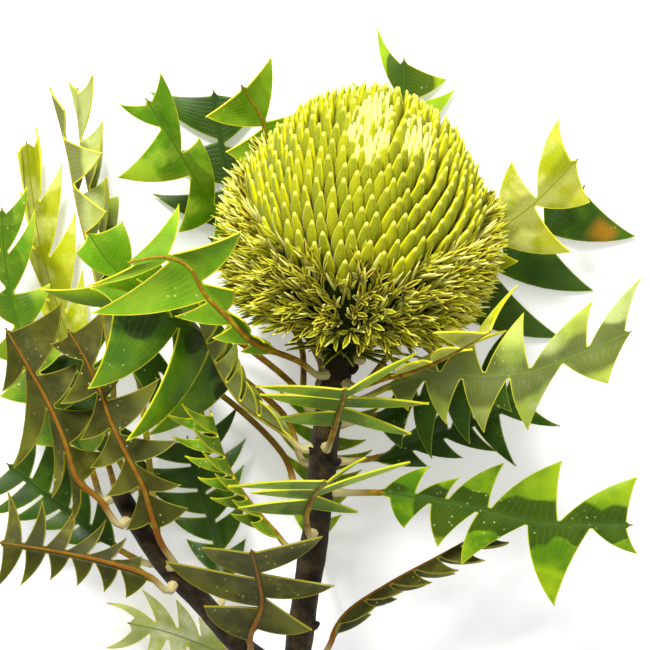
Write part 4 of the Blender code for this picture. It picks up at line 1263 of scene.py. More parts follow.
class Leaf:
    """One leaf: its rib, the way its face looks, and its lobes' feet and tips.

    Attributes:
        shares: Places of a lobe's columns between its two edges.
        rows: Places of its rows between its foot and its tip.
        notch: Half the gap between two lobes' feet.
        thick: The blade's thickness.
        settlings: How often a resting leaf is let down on the floor.
    """

    shares = (0.0, 0.05, 0.14, 0.28, 0.42, 0.5, 0.58, 0.72, 0.86, 0.95, 1.0)
    rows = (0.0, 0.08, 0.2, 0.34, 0.5, 0.66, 0.8, 0.9, 0.96, 1.0)
    notch = 0.45
    thick = 0.6
    settlings = 7

    def __init__(self, plan: LeafPlan, stems: Stems) -> None:
        """Draws the leaf's rib from its plan.

        Args:
            plan: The leaf's plan.
            stems: The stems, from one of which it grows.
        """
        self.plan = plan
        self.stems = stems
        self.sag = 0.0
        self.draw()
        for _ in range(self.settlings if plan.rests else 0):
            low = min(point.z for side in (1, -1) for point in self.outline(side))
            self.sag += low - self.thick * 0.5 - 0.1
            self.draw()

    def draw(self) -> None:
        """Runs the rib from the bark to the leaf's end, sagged if it lies on the floor."""
        plan = self.plan
        stem = self.stems.shoot if plan.on_shoot else self.stems.main
        u = stem.nearest(*plan.foot)
        centre = stem.place(u)
        out = Vector(plan.out) if plan.out else SHEET.at(*plan.rib[0]) - centre
        out = square_to(out, stem.heading(u))
        start = centre + out * (self.stems.thickness(u, plan.on_shoot) + self.stems.gap + 0.1)
        self.line = GrowthLine([start, start + out * 3.0] + [SHEET.at(*place) for place in plan.rib])
        if self.sag:
            for point, far in zip(self.line.points, self.line.far):
                point.z -= self.sag * far / self.line.length
            self.line.measure()
        self.length = self.line.length
        self.ways = self.face_ways()
        ahead, _, across = self.frame(self.length * 0.7)
        self.left_side = 1 if across.dot(Vector((0, 0, 1)).cross(ahead)) > 0 else -1

    def face_ways(self) -> list[Vector]:
        """Finds the way the upper face looks at each point of the rib.

        Returns:
            The ways, carried back down the stalk from the first lobe.
        """
        first, last = (Vector(way).normalized() for way in self.plan.up)
        far = self.line.far
        ways = [square_to(first.lerp(last, u / self.length), self.line.heading(u)) for u in far]
        turn = max(i for i, u in enumerate(far) if u <= max(self.plan.first, 4.0))
        for i in range(turn - 1, -1, -1):
            ways[i] = square_to(ways[i + 1], self.line.heading(far[i]))
        return ways

    def frame(self, u: float) -> Ways:
        """Gives three ways at a length along the rib.

        Args:
            u: The length.

        Returns:
            The ways ahead, above and across.
        """
        u = min(max(u, 0.0), self.length)
        i, share = self.line.step_of(u)
        ahead = self.line.heading(u)
        above = square_to(self.ways[i].lerp(self.ways[i + 1], share), ahead)
        return ahead, above, ahead.cross(above)

    def strip(self, u: float, side: int) -> Vector:
        """Finds the point beside the rib, at a length along it, where the lobes start."""
        half = self.plan.wing - 0.5 * min(1.0, max(u, 0.0) / self.length)
        return self.line.place(u) + self.frame(u)[2] * side * half

    def marks(self, side: int) -> list[float]:
        """Finds where along the rib the lobes of one side start, and where the last one ends.

        Args:
            side: The leaf's side, 1 or -1.

        Returns:
            Lengths along the rib.
        """
        cuts = self.plan.cuts[side != self.left_side]
        if cuts:
            return [self.line.nearest(x, y) for x, y in cuts] + [self.length]
        first, count = self.plan.first, self.plan.pairs
        step = (self.length - first) / count
        shift = 0.45 * step if side < 0 else 0.0
        return [
            first + step * count * (k / count) ** 0.9 + shift * (1 - k / count) for k in range(count + 1)
        ]

    def span(self, marks: Sequence[float], k: int) -> tuple[float, float]:
        """Gives the lengths along the rib between which a lobe's foot lies."""
        return marks[k] + (self.notch if k else 0.0), marks[k + 1] - self.notch

    def tip(self, marks: Sequence[float], k: int, side: int, chance: random.Random) -> Vector:
        """Finds the tip of a lobe.

        Args:
            marks: The side's lobe feet along the rib.
            k: Which lobe, from the stalk up.
            side: The leaf's side, 1 or -1.
            chance: The leaf's own source of small differences.

        Returns:
            The tip.
        """
        count = len(marks) - 1
        given = self.plan.tips[side != self.left_side]
        ahead, above, across = self.frame(marks[k + 1])
        size, tilt = chance.uniform(0.92, 1.06), chance.uniform(-4, 4)
        if count - 1 - k < len(given) and given[count - 1 - k]:
            lower = Vector((0, 0, self.sag * marks[k + 1] / self.length))
            return SHEET.at(*given[count - 1 - k]) - lower
        reach = self.plan.reach * size * min(1.0, 0.42 + 0.75 * (k + 0.6) / count)
        fold = math.radians(self.plan.fold + tilt)
        sweep = (0.5 if k < count - 1 else 0.7) * min(marks[k + 1] - marks[k], 0.6 * reach)
        tip = self.line.place(marks[k + 1]) + ahead * sweep
        return tip + across * side * reach * math.cos(fold) + above * reach * math.sin(fold)

    def tips(self) -> dict[int, list[Vector]]:
        """Finds the tips of all lobes.

        Returns:
            The tips of each side.
        """
        chance = random.Random(self.plan.name)
        found = {}
        for side in (1, -1):
            marks = self.marks(side)
            found[side] = [self.tip(marks, k, side, chance) for k in range(len(marks) - 1)]
        return found

    def outline(self, side: int) -> list[Vector]:
        """Gives points along the edges of one side's lobes, to see how low the leaf hangs.

        Args:
            side: The leaf's side, 1 or -1.

        Returns:
            The points.
        """
        marks, points = self.marks(side), []
        for k, tip in enumerate(self.tips()[side]):
            near, far, _, _ = self.lobe(marks, k, side, tip)
            points += [edge(t) for t in (0.0, 0.25, 0.5, 0.75, 1.0) for edge in (near, far)]
        return points

    def lobe(self, marks: Sequence[float], k: int, side: int, tip: Vector
             ) -> tuple[Edge, Edge, Vector, float]:
        """Draws the two edges of a lobe, bulging on its near side and hollow on its far one.

        Args:
            marks: The side's lobe feet along the rib.
            k: Which lobe.
            side: The leaf's side.
            tip: The lobe's tip.

        Returns:
            The near edge, the far edge, the way that the lobe faces and its length.
        """
        start, end = (self.strip(u, side) for u in self.span(marks, k))
        flat = facing((end - start).cross(tip - start).normalized(), self.frame(marks[k])[1])
        near, far = (facing(flat.cross(tip - foot).normalized(), start - end) for foot in (start, end))
        reach = (tip - start).length
        lift = flat * reach * 0.06
        bulge = start.lerp(tip, 0.5) + near * reach * self.plan.bulge + lift
        hollow = end.lerp(tip, 0.5) + far * (tip - end).length * 0.09 + lift

        def edge(foot: Vector, bend: Vector, t: float) -> Vector:
            """Runs from a foot to the tip past a bend."""
            return foot * (1 - t) ** 2 + bend * 2 * t * (1 - t) + tip * t * t

        return lambda t: edge(start, bulge, t), lambda t: edge(end, hollow, t), flat, reach

    def columns(self, marks: Sequence[float], side: int) -> list[tuple[int, float, float]]:
        """Lists the columns of one side of the blade.

        Args:
            marks: The side's lobe feet along the rib.
            side: The leaf's side, 1 or -1.

        Returns:
            For each column its lobe, or -1 for none, its share of the lobe and its place on the rib.
        """
        columns = [(-1, 0.0, marks[0] - 5.0), (-1, 0.0, marks[0] - 2.0)]
        for k in range(len(marks) - 1):
            low, high = self.span(marks, k)
            columns += [(k, share, low + (high - low) * share) for share in self.shares]
        columns.append((-1, 1.0, self.length + 0.7))
        return columns[::-1] if side > 0 else columns

    def half_blade(self, side: int, tips: Sequence[Vector]) -> Piece:
        """Models one side of the blade as a sheet.

        Args:
            side: The leaf's side, 1 or -1.
            tips: The tips of its lobes.

        Returns:
            The sheet, with the numbers that its veins and margin are drawn by.
        """
        marks = self.marks(side)
        columns = self.columns(marks, side)
        chance = random.Random(f"{self.plan.name} {side} waves")
        tints = [chance.random() for _ in tips]
        waves = [(chance.uniform(0, 6.3), chance.uniform(0.5, 1.0)) for _ in tips]
        lobes = [(*self.lobe(marks, k, side, tip), *waves[k]) for k, tip in enumerate(tips)]

        def on_rib(u: float, tint: float) -> tuple[Vector, Spot, Spot]:
            """Gives a point on the rib and what it carries."""
            return self.line.place(u), (0.0, 0.0, 1.4), (u, 0.0, tint)

        def beside_lobes(u: float) -> tuple[Vector, Spot, Spot]:
            """Gives a point where the strip runs out, and what it carries."""
            slim = 0.25 if u < marks[0] - 3.0 or u > self.length else 0.7
            point = self.line.place(u).lerp(self.strip(u, side), slim)
            return point, (0.0, 0.0, 0.0), (u, 1.0, 0.5)

        def on_lobe(k: int, share: float, u: float, t: float) -> tuple[Vector, Spot, Spot]:
            """Finds a point of a lobe, which is a little crowned and rippled.

            Args:
                k: The lobe's number.
                share: How far across it the point lies, from 0 to 1.
                u: Length along the rib at the lobe's foot.
                t: How far out on the lobe the point lies, from 0 to 1.

            Returns:
                The point, and the two sets of numbers that it carries.
            """
            near, far, flat, reach, phase, size = lobes[k]
            a, b = near(t), far(t)
            wide = (b - a).length
            base = self.strip(u, side) - near(0.0).lerp(far(0.0), share)
            crown = 4 * share * (1 - share) * wide * 0.045 * smooth(0, 0.3, t)
            ripple = math.sin(phase + 2.6 * t + 2.0 * share) * 0.012 * reach * size * t
            edge = min(min(share, 1 - share) * wide, (1 - t) * reach * 0.5, 1.6 if t == 0.0 else reach)
            return (
                a.lerp(b, share) + base * (1 - t) ** 2 + flat * (crown + ripple), (share, t, edge),
                (u, self.plan.wing - 0.3 + t * reach, tints[k]),
            )

        found = [on_rib(u, tints[k] if k >= 0 else 0.5) for k, _, u in columns]
        for t in self.rows:
            found += [on_lobe(k, share, u, t) if k >= 0 else beside_lobes(u) for k, share, u in columns]
        points, blade, place = zip(*found)
        total = len(columns)
        obj = Moves.grid(total, len(self.rows) + 1, lambda column, row: points[row * total + column])
        Moves.carry(obj, "blade", blade)
        Moves.carry(obj, "place", place)
        keys = [k for k, _, _ in columns]
        bridges = [i for i in range(total - 1) if keys[i] != keys[i + 1] or keys[i] < 0]
        rows = range(1, len(self.rows))
        Moves.drop_faces(obj, {row * (total - 1) + i for row in rows for i in bridges})
        Moves.weld(obj)
        return obj

    def rib(self) -> Piece:
        """Models the stalk and the rib, raised under the blade and level with it above.

        Returns:
            The stalk and rib.
        """
        first = min(self.marks(1)[0], self.marks(-1)[0])
        steps = max(int(self.length / 2.2), 8)
        between = [self.length * k / steps for k in range(1, steps)]
        stations = [-1.2, -0.2] + between + [self.length + 1.6]

        def frame_at(u: float) -> Ways:
            """Gives the ring's middle and its two ways."""
            _, above, across = self.frame(u)
            drop = (radius(u, 0.0) - 0.12) * smooth(first - 4.0, first + 2.0, u)
            return self.line.place(u) - above * drop, across, above

        def radius(u: float, turn: float) -> float:
            """Gives the rib's radius, from a swollen foot to a fine end."""
            if u < first:
                return blend(u, ((-1.2, 2.0), (1.2, 1.6), (4.0, 1.15), (first, 1.05)))
            return max(0.95 - 0.62 * (u - first) / max(self.length - first, 1.0), 0.3)

        return Moves.tube(stations, frame_at, radius, 8)

    def build(self) -> Piece:
        """Models the leaf, gives its blade thickness and dresses it.

        Returns:
            The leaf.
        """
        name, finish = self.plan.name, self.plan.finish.value
        leaf = Moves.join([self.half_blade(side, tips) for side, tips in self.tips().items()])
        if self.plan.burn:
            spot = SHEET.at(*self.plan.burn)
            near = [smooth(6.0, 2.5, (Vector(at) - spot).length) for at in Moves.points_of(leaf) / MM]
            Moves.carry(leaf, "burn", [(share, share, share) for share in near])
        finish.dress(leaf)
        Moves.thicken(leaf, self.thick, back=1)
        rib = self.rib()
        finish.dress(rib)
        rib.data.polygons.foreach_set("material_index", [2] * len(rib.data.polygons))
        return Moves.finish(Moves.join([rib, leaf]), f"{name}_blade", finish.slot, [name], 42)


@dataclass(frozen=True)
class FloretFinish:
    """How the florets of the head look, closed or open.

    Attributes:
        name: The material's name.
        panel: Colour of the middle of a limb.
        side: Colour of its bright hairy edges.
        knob: Colour of its tip.
        tube: Colour of the pale tube under it.
        low: Colour of the limb's foot.
        pollen: Colour of the open floret's pollen sacs.
        streak: Colour of the tube's streaks.
    """

    name: str
    panel: Colour = (134, 142, 18)
    side: Colour = (214, 210, 8)
    knob: Colour = (228, 226, 96)
    tube: Colour = (224, 220, 116)
    low: Colour = (92, 102, 2)
    pollen: Colour = (92, 50, 6)
    streak: Colour = (196, 194, 48)

    def material(self) -> Material:
        """Makes the florets' material.

        Returns:
            The material.
        """
        bench = Coating(self.name, roughness=0.65, sheen_weight=0.1, sheen_roughness=0.4)
        along, edge, dark = bench.carried("petal")
        tint = bench.share("tint")
        silk = bench.noise(1500.0, 3.0)
        panel = bench.mix(bench.ramp(tint, 0.3, 1.0, 0.0, 0.35), self.panel, self.side)
        panel = bench.mix(bench.ramp(silk, 0.4, 0.75, 0.0, 0.25), panel, self.side)
        panel = bench.mix(bench.ramp(along, 2.0, 0.0), panel, self.low)
        tone = bench.mix(bench.ramp(edge, 0.68, 0.92), panel, self.side)
        tone = bench.mix(bench.ramp(along, 10.6, 12.4), tone, self.knob)
        tube = bench.mix(bench.ramp(silk, 0.3, 0.7, 0.0, 0.6), self.tube, self.streak)
        tone = bench.mix(bench.ramp(along, 0.0, 1.0), tube, tone)
        brown = bench.times(bench.ramp(dark, 0.25, 0.8), bench.ramp(tint, 0.25, 0.55))
        return bench.cover(bench.mix(brown, tone, self.pollen), silk, 0.5)


@dataclass(frozen=True)
class CushionFinish:
    """The woolly core under the florets, pale at its crown and darkened lower down by painted shade.

    Attributes:
        name: The material's name.
        crown: Colour of its top.
        flank: Colour of its side, where the painted shade begins.
        skirt: Colour of the painted shade on its lower part and in the wool's hollows.
    """

    name: str = "head_core"
    crown: Colour = (200, 198, 80)
    flank: Colour = (80, 92, 6)
    skirt: Colour = (36, 52, 0)

    def material(self) -> Material:
        """Makes the core's material.

        Returns:
            The material.
        """
        bench = Coating(self.name, roughness=0.85)
        height, _, _ = bench.carried("petal")
        wool = bench.noise(900.0, 4.0)
        # Painted shade: the core darkens from its crown down towards the stem, and the wool's hollows
        # darken too.
        tone = bench.mix(bench.ramp(height, -22.0, 4.0), self.skirt, self.flank)
        tone = bench.mix(bench.ramp(height, 6.0, 28.0), tone, self.crown)
        tone = bench.mix(bench.ramp(wool, 0.52, 0.3, 0.0, 0.75), tone, self.skirt)
        return bench.cover(tone, wool, 0.9, 0.001)


class Floret(Enum):
    """The kinds of floret on the head, by the names of their pieces."""

    CLOSED = "florets_closed"
    OPEN = "florets_open"
    SILK = "florets_silk"
    NEEDLE = "florets_needle"


class Seat:
    """A place on the head's core where a floret grows."""

    def __init__(self, head: "FlowerHead", number: int, chance: random.Random) -> None:
        """Finds a seat on the spiral of florets.

        Args:
            head: The head.
            number: Its number, from the top down.
            chance: The source of small differences.
        """
        cap = 1 - math.cos(math.radians(head.last))
        self.number, self.chance = number, chance
        self.angle = math.degrees(math.acos(1 - (number + 0.5) / head.count * cap))
        self.turn = (number * head.golden + 0.4) % ROUND
        self.axis, self.outward = head.axis, head.off(self.turn).normalized()
        self.around = head.axis.cross(self.outward).normalized()
        self.root = head.point(*head.skin(self.angle), self.turn)

    def way(self, lean: float, stray: float) -> Vector:
        """Gives a way that leans out from the axis by so many degrees, and strays a little."""
        lean, sway = math.radians(lean), self.around * self.chance.uniform(-stray, stray)
        return (self.axis * math.cos(lean) + self.outward * math.sin(lean) + sway).normalized()


@dataclass
class FlowerHead:
    """The domed head: a core, closed florets over it and a skirt of open ones.

    Attributes:
        middle: The head's middle on the sheet, with its height.
        lean: Lean of the axis to the right, in degrees.
        tilt: Lift of the head's top off the floor, in degrees.
        neck: Height along the axis at which the stem starts.
        core: Height and radius of the core's rings, from the stem up.
        limb: The same for a closed floret.
        lobe: Height, distance off the middle, half width and darkness along an open lobe.
        style: Height and radius of an open floret's style.
        silk: The same for a silky tube.
        needle: The same for a silky style of the skirt.
        count: How many seats for florets the spiral has.
        last: Angle of the lowest seats from the head's top, in degrees.
        silky: Middle and half size of each spot where the limbs part, in degrees off the top.
        seed: Start of its small differences.
        golden: Turn from one floret to the next.
    """

    middle: Spot = (362.0, 222.0, 58.0)
    lean: float = 9.0
    tilt: float = 10.0
    neck: float = -45.0
    core: Rings = (
        (-44.8, 0), (-44.8, 4.8), (-40.8, 5.2), (-38.4, 13), (-34, 21.5), (-28, 29), (-19, 33.8),
        (-8, 35.6), (4, 35), (15, 31), (24, 24.5), (31, 16.5), (36, 8), (38, 0),
    )
    limb: Rings = (
        (-15, 0.8), (-1.5, 0.95), (0.8, 1.55), (3.2, 2.1), (6, 2.1), (8.4, 1.7), (10.2, 1.2),
        (11.5, 0.85), (12.4, 0.4),
    )
    lobe: Fours = (
        (3.2, 0.55, 0.55, 0), (7, 1.1, 0.66, 0.4), (9.4, 1.9, 0.88, 1), (11.6, 2.9, 0.76, 0.9),
        (13.8, 3.7, 0.08, 0),
    )
    style: Rings = ((4, 0.3), (10, 0.24), (15, 0.14))
    silk: Rings = ((-9, 0.9), (0, 1.15), (6, 1), (9.4, 0.4))
    needle: Rings = ((-4, 0.5), (5, 0.56), (10, 0.5), (14.5, 0.14))
    count: int = 780
    last: float = 150.0
    silky: Fours = ((-4, 38, 9.5, 21), (22, 39, 6.5, 11))
    seed: int = 11
    golden: float = math.radians(137.508)

    def __post_init__(self) -> None:
        """Works out the head's own ways: along its axis, to its front and to its side."""
        lean, tilt = math.radians(self.lean), math.radians(self.tilt)
        flat = math.cos(tilt)
        self.axis = Vector((math.sin(lean) * flat, math.cos(lean) * flat, math.sin(tilt)))
        self.front = square_to(Vector((0, 0, 1)), self.axis)
        self.side = self.axis.cross(self.front)
        self.centre = SHEET.at(*self.middle)

    def off(self, turn: float) -> Vector:
        """Gives the way straight off the axis at a turn, 0 facing the eye."""
        return self.front * math.cos(turn) + self.side * math.sin(turn)

    def point(self, height: float, radius: float, turn: float) -> Vector:
        """Finds the point of the head at a height along its axis, a radius and a turn."""
        return self.centre + self.axis * height + self.off(turn) * radius

    def skin(self, angle: float) -> tuple[float, float]:
        """Finds the height and radius of the core's surface at an angle from the head's top."""
        spots = [
            (h0 + (h1 - h0) * k / 24, r0 + (r1 - r0) * k / 24)
            for (h0, r0), (h1, r1) in zip(self.core[1:], self.core[2:]) for k in range(25)
        ]
        return min(spots, key=lambda spot: abs(math.degrees(math.atan2(spot[1], spot[0])) - angle))

    def build_core(self) -> Piece:
        """Models the core with a surface of low knobs.

        Returns:
            The core.
        """
        heights = [h for h, _ in self.core[1:-1]]
        fine = [heights[0]]
        for a, b in zip(heights, heights[1:]):
            fine += [a + (b - a) * k / 3 for k in (1, 2, 3)]

        def radius(h: float, turn: float) -> float:
            """Gives the radius, knobbed above the neck."""
            wave = math.sin(turn * 18 + h * 0.9) * math.sin(h * 0.8 - turn * 5)
            return blend(h, self.core[1:]) * 0.985 + wave * 0.5 * smooth(-40.0, -30.0, h)

        core = Moves.tube(
            fine + [36.9, 37.6], lambda h: (self.centre + self.axis * h, self.front, self.side),
            radius, 72,
        )
        points = Moves.points_of(core) / MM
        levels = [((Vector(point) - self.centre).dot(self.axis), 0.0, 0.0) for point in points]
        Moves.carry(core, "petal", levels)
        core.data.materials.append(CushionFinish().material())
        return Moves.finish(core, "head_cushion", "floret", ["flower_head"])

    def closed_pattern(self) -> Piece:
        """Models one closed floret, upright at the origin, its limb's foot at height 0.

        Returns:
            The pattern. It carries how far up and how near an edge its points lie.
        """
        pattern = Moves.upright(
            self.limb, 8, lambda h, turn: 1.0 - 0.3 * math.sin(turn) ** 2 * smooth(-1.0, 3.0, h),
        )
        Moves.carry(pattern, "petal", [
            (max(z, 0.0), min(abs(x) / max(blend(z, self.limb), 0.1), 1.0), 0.0)
            for x, _, z in Moves.points_of(pattern) / MM
        ])
        return pattern

    def open_pattern(self) -> Piece:
        """Models one open floret: a tube, four narrow lobes with pollen sacs and a style.

        Returns:
            The pattern, upright at the origin.
        """
        tube = Moves.upright(((-6.0, 0.6), (4.0, 0.85)), 4)
        Moves.carry(tube, "petal", [(0.0, 0.0, 0.0)] * len(tube.data.vertices))
        lobes = [self.open_lobe(math.pi / 4 + k * math.pi / 2) for k in range(4)]
        style = Moves.upright(self.style, 3, bend=0.005)
        Moves.carry(style, "petal", [(3.0, 1.0, 0.0)] * len(style.data.vertices))
        return Moves.join([tube, *lobes, style])

    def open_lobe(self, turn: float) -> Piece:
        """Models one lobe of an open floret, hollow to the inside.

        Args:
            turn: Its turn round the floret.

        Returns:
            The lobe.
        """
        ahead = Vector((math.cos(turn), math.sin(turn), 0.0))
        across = Vector((-math.sin(turn), math.cos(turn), 0.0))

        def lay(column: int, row: int) -> Vector:
            """Lays a crossing of the lobe."""
            h, off, wide, _ = self.lobe[row]
            edge = column - 1
            return ahead * (off - abs(edge) * 0.3 * wide) + across * edge * wide + Vector((0, 0, h))

        lobe = Moves.grid(3, len(self.lobe), lay)
        values = []
        for h, _, _, dark in self.lobe:
            edge = (h - 1.5, 1.0, 0.0)
            values += [edge, (h - 1.5, 0.55, dark), edge]
        Moves.carry(lobe, "petal", values)
        return lobe

    @staticmethod
    def spike_pattern(profile: Rings, along: float) -> Piece:
        """Models one slender silky tube, upright at the origin.

        Args:
            profile: Its radius by height.
            along: The height that its top counts as, for its colour.

        Returns:
            The pattern.
        """
        spike = Moves.upright(profile, 5)
        top = profile[-1][0]
        points = Moves.points_of(spike) / MM
        far = [along * (max(z, 0.0) / top) ** 3 for _, _, z in points]
        Moves.carry(spike, "petal", [(share, 1.0, 0.0) for share in far])
        return spike

    @staticmethod
    def stand(points: np.ndarray, stretch: float, root: Vector, way: Vector, outward: Vector,
              spin: float, size: float, curl: float) -> np.ndarray:
        """Stands a copy of a pattern on the core.

        Args:
            points: The pattern's points, in millimetres.
            stretch: How wide it is, 1 for as modelled.
            root: Where its origin goes.
            way: The way that it stands.
            outward: The way out from the head's axis.
            spin: Its own turn.
            size: Its size, 1 for as modelled.
            curl: How far its top bends in.

        Returns:
            The copy's points, in metres.
        """
        above = square_to(outward, way)
        ways = np.array([above.cross(way), above, way])
        c, s = math.cos(spin), math.sin(spin)
        x, y, z = points.T * np.array([[stretch], [stretch], [1.0]])
        bent = x * s + y * c - curl * np.clip(z / 12.0, 0.0, 2.0) ** 2
        local = np.stack([x * c - y * s, bent, z], axis=1) * size
        return (local @ ways + np.array(root)) * MM

    def bald(self, angle: float, turn: float) -> float:
        """Says from 0 to 1 how strongly the limbs part over silky tubes at an angle and turn."""
        x, y = angle * math.sin(turn), angle * math.cos(turn)
        return max(
            smooth(1.25, 0.7, math.hypot((x - cx) / wide, (y - cy) / tall))
            for cx, cy, wide, tall in self.silky
        )

    def scatter(self, chance: random.Random) -> dict[Floret, list[tuple]]:
        """Finds where every floret stands and how.

        Args:
            chance: The source of small differences.

        Returns:
            For each kind of floret, what stand takes after the points.
        """
        found: dict[Floret, list[tuple]] = {kind: [] for kind in Floret}
        for number in range(self.count):
            seat = Seat(self, number, chance)
            edge = 112.0 - 58.0 * math.sin(seat.turn / 2) ** 2 + chance.uniform(-4, 4)
            grow = self.skirt if seat.angle > edge else self.crown
            for kind, values in grow(seat):
                found[kind].append(values)
        return found

    @staticmethod
    def skirt(seat: Seat) -> Iterable[tuple[Floret, tuple]]:
        """Grows open florets and silky styles at a seat of the skirt.

        Args:
            seat: The seat.

        Yields:
            The kind of each floret and what stand takes after the points.
        """
        draw = seat.chance.uniform
        ahead = math.cos(seat.turn) > 0.88
        lean = blend(seat.angle, ((50, 28), (70, 40), (85, 50), (100, 60), (120, 72), (150, 96)))
        if ahead:
            lean *= blend(seat.angle, ((110, 0.7), (140, 1.0)))
        for slide in (0.0,) if ahead and seat.number % 5 < 2 else (-1.4, 1.6):
            yield Floret.OPEN, (
                1.0, seat.root + seat.around * (slide + draw(-0.8, 0.8)) - seat.outward,
                seat.way(lean + draw(-12, 12), 0.22), seat.outward, draw(0, 1.5), draw(0.86, 1.08),
                draw(-0.8, 1.2),
            )
        for _ in range(1 if ahead else 3 if seat.angle < 108 else 2):
            yield Floret.NEEDLE, (
                1.0, seat.root + seat.around * draw(-3, 3), seat.way(lean + draw(-18, 12), 0.3),
                seat.outward, 0.0, draw(0.78, 1.04), draw(-1.0, 1.5),
            )

    def crown(self, seat: Seat) -> Iterable[tuple[Floret, tuple]]:
        """Grows a closed floret at a seat of the dome, or silky tubes where the limbs part.

        Args:
            seat: The seat.

        Yields:
            The kind of each floret and what stand takes after the points.
        """
        draw = seat.chance.uniform
        bald = self.bald(seat.angle, seat.turn)
        lean = blend(seat.angle, ((0, 0), (45, 12), (80, 22), (100, 34), (115, 46)))
        rise = blend(seat.angle, ((0, 8.7), (40, 11.5), (80, 11.0), (115, 10.0))) - 12.5
        out = seat.outward * blend(seat.angle, ((0, 0), (60, 0.5), (90, 1.5), (115, 1.5)))
        if bald > 0.3:
            for shift in (-1.6, 0.2, 1.9):
                yield Floret.SILK, (
                    1.0, seat.root + out + seat.around * (shift + draw(-0.4, 0.4)),
                    seat.way(lean - 6, 0.04), seat.outward, 0.0, draw(1.0, 1.2), draw(0.2, 1.0),
                )
        if bald > 0.5 and seat.chance.random() < 0.62:
            return
        heading = seat.way(lean + draw(-4, 5), 0.09)
        yield Floret.CLOSED, (
            1.0 - 0.42 * bald, seat.root + out + heading * rise, heading, seat.outward, draw(-0.2, 0.2),
            draw(0.94, 1.03), draw(0.6, 1.5),
        )

    def build_florets(self) -> list[Piece]:
        """Stands all florets on the core, closed above and open round its skirt.

        Returns:
            The pieces, one for each kind of floret.
        """
        shut = FloretFinish("florets_shut").material()
        # Painted shade: the open florets' tube and limb foot are darker than the closed ones' to deepen
        # the shade under the dome.
        wide = FloretFinish(
            "florets_wide", panel=(140, 142, 4), side=(220, 216, 56), knob=(232, 226, 84),
            tube=(176, 172, 56), low=(72, 86, 0)).material()
        pale = FloretFinish(
            "florets_silk", panel=(222, 220, 104), side=(234, 232, 130), knob=(236, 234, 118),
            low=(222, 222, 128)).material()
        patterns = {
            Floret.CLOSED: (self.closed_pattern(), shut),
            Floret.OPEN: (self.open_pattern(), wide),
            Floret.SILK: (self.spike_pattern(self.silk, 6.0), pale),
            Floret.NEEDLE: (self.spike_pattern(self.needle, 9.0), pale),
        }
        chance = random.Random(self.seed)
        pieces = []
        for kind, places in self.scatter(chance).items():
            pattern, coat = patterns[kind]
            points = Moves.points_of(pattern) / MM
            stood = [(self.stand(points, *values), chance.random()) for values in places]
            florets = Moves.copies(pattern, stood)
            florets.data.materials.append(coat)
            pieces.append(Moves.finish(florets, kind.value, "floret", ["flower_head"]))
        return pieces

    def build(self) -> list[Piece]:
        """Builds the core and the florets."""
        return [self.build_core(), *self.build_florets()]


@dataclass(frozen=True)
class BractFinish:
    """Dark narrow bracts with a paler edge.

    Attributes:
        name: The material's name.
        ground: Main colour.
        patch: Colour of its patches.
        edge: Colour of its edges.
    """

    name: str = "bract_green"
    ground: Colour = (56, 76, 0)
    patch: Colour = (104, 112, 14)
    edge: Colour = (170, 164, 40)

    def material(self) -> Material:
        """Makes the bracts' material.

        Returns:
            The material.
        """
        bench = Coating(self.name, roughness=0.55)
        tone, grain = bench.mottled(self.ground, self.patch, 0.7, 160.0)
        _, edge, _ = bench.carried("petal")
        return bench.cover(bench.mix(bench.ramp(edge, 0.7, 1.0, 0.0, 0.8), tone, self.edge), grain)


@dataclass
class Bracts:
    """Narrow bracts in a collar under the head.

    Attributes:
        head: The head that they grow under.
        long: For each long bract, its turn number out of 24 and its reach.
        scales: How many short scales stand round their feet.
        foot: Height of their feet along the head's axis.
        inner: Radius at which their feet stand.
        thick: Their thickness.
        seed: Start of their small differences.
    """

    head: FlowerHead
    long: tuple[tuple[int, float], ...] = (
        (0, 13.0), (2, 19.0), (4, 25.0), (6, 22.0), (18, 12.0), (20, 17.0), (22, 12.0),
    )
    scales: int = 18
    foot: float = -43.4
    inner: float = 5.4
    thick: float = 0.5
    seed: int = 5

    def blade(self, turn: float, reach: float, drop: float, wide: float) -> Piece:
        """Models one bract.

        Args:
            turn: Its turn round the stem.
            reach: How far it reaches out.
            drop: How far its tip hangs below its foot.
            wide: Half its width.

        Returns:
            The bract.
        """
        head, columns, rows = self.head, 5, 9
        here, there = (head.point(self.foot, self.inner + 2.0, turn + step) for step in (-0.01, 0.01))
        around = (there - here).normalized()

        def lay(column: int, row: int) -> Vector:
            """Lays a crossing of a blade that is hollow above and drawn out to a point.

            Args:
                column: Its place across the blade.
                row: Its place along the blade.

            Returns:
                The point.
            """
            share = row / (rows - 1)
            height = self.foot + drop * share + 3.0 * share * (1 - share)
            edge = (column - 2) / 2
            width = wide * blend(share, ((0, 0.8), (0.35, 1.0), (0.8, 0.5), (1, 0.04)))
            middle = head.point(height, self.inner + (2.0 + reach) * share, turn)
            return middle + around * edge * width + head.axis * (edge * edge * 0.35 * width)

        obj = Moves.grid(columns, rows, lay)
        spots = [(row / (rows - 1), column) for row in range(rows) for column in range(columns)]
        Moves.carry(obj, "petal", [(share, abs(column - 2) / 2, 0.0) for share, column in spots])
        return obj

    def build(self) -> list[Piece]:
        """Builds the long bracts and a ring of short scales round their feet.

        Returns:
            The bracts, as one piece.
        """
        draw = random.Random(self.seed).uniform
        blades = [
            self.blade(ROUND * (k + 0.85) / 24, reach, draw(-3.5, 0.5), 1.5) for k, reach in self.long
        ]
        for k in range(self.scales):
            turn = ROUND * (k + draw(0, 0.6)) / self.scales
            blades.append(self.blade(turn, draw(1.5, 4.5), draw(-2.5, 1.5), 1.1))
        bracts = Moves.join(blades)
        Moves.thicken(bracts, self.thick)
        bracts.data.materials.append(BractFinish().material())
        return [Moves.finish(bracts, "bract_collar", "bract", ["bracts"], 45)]


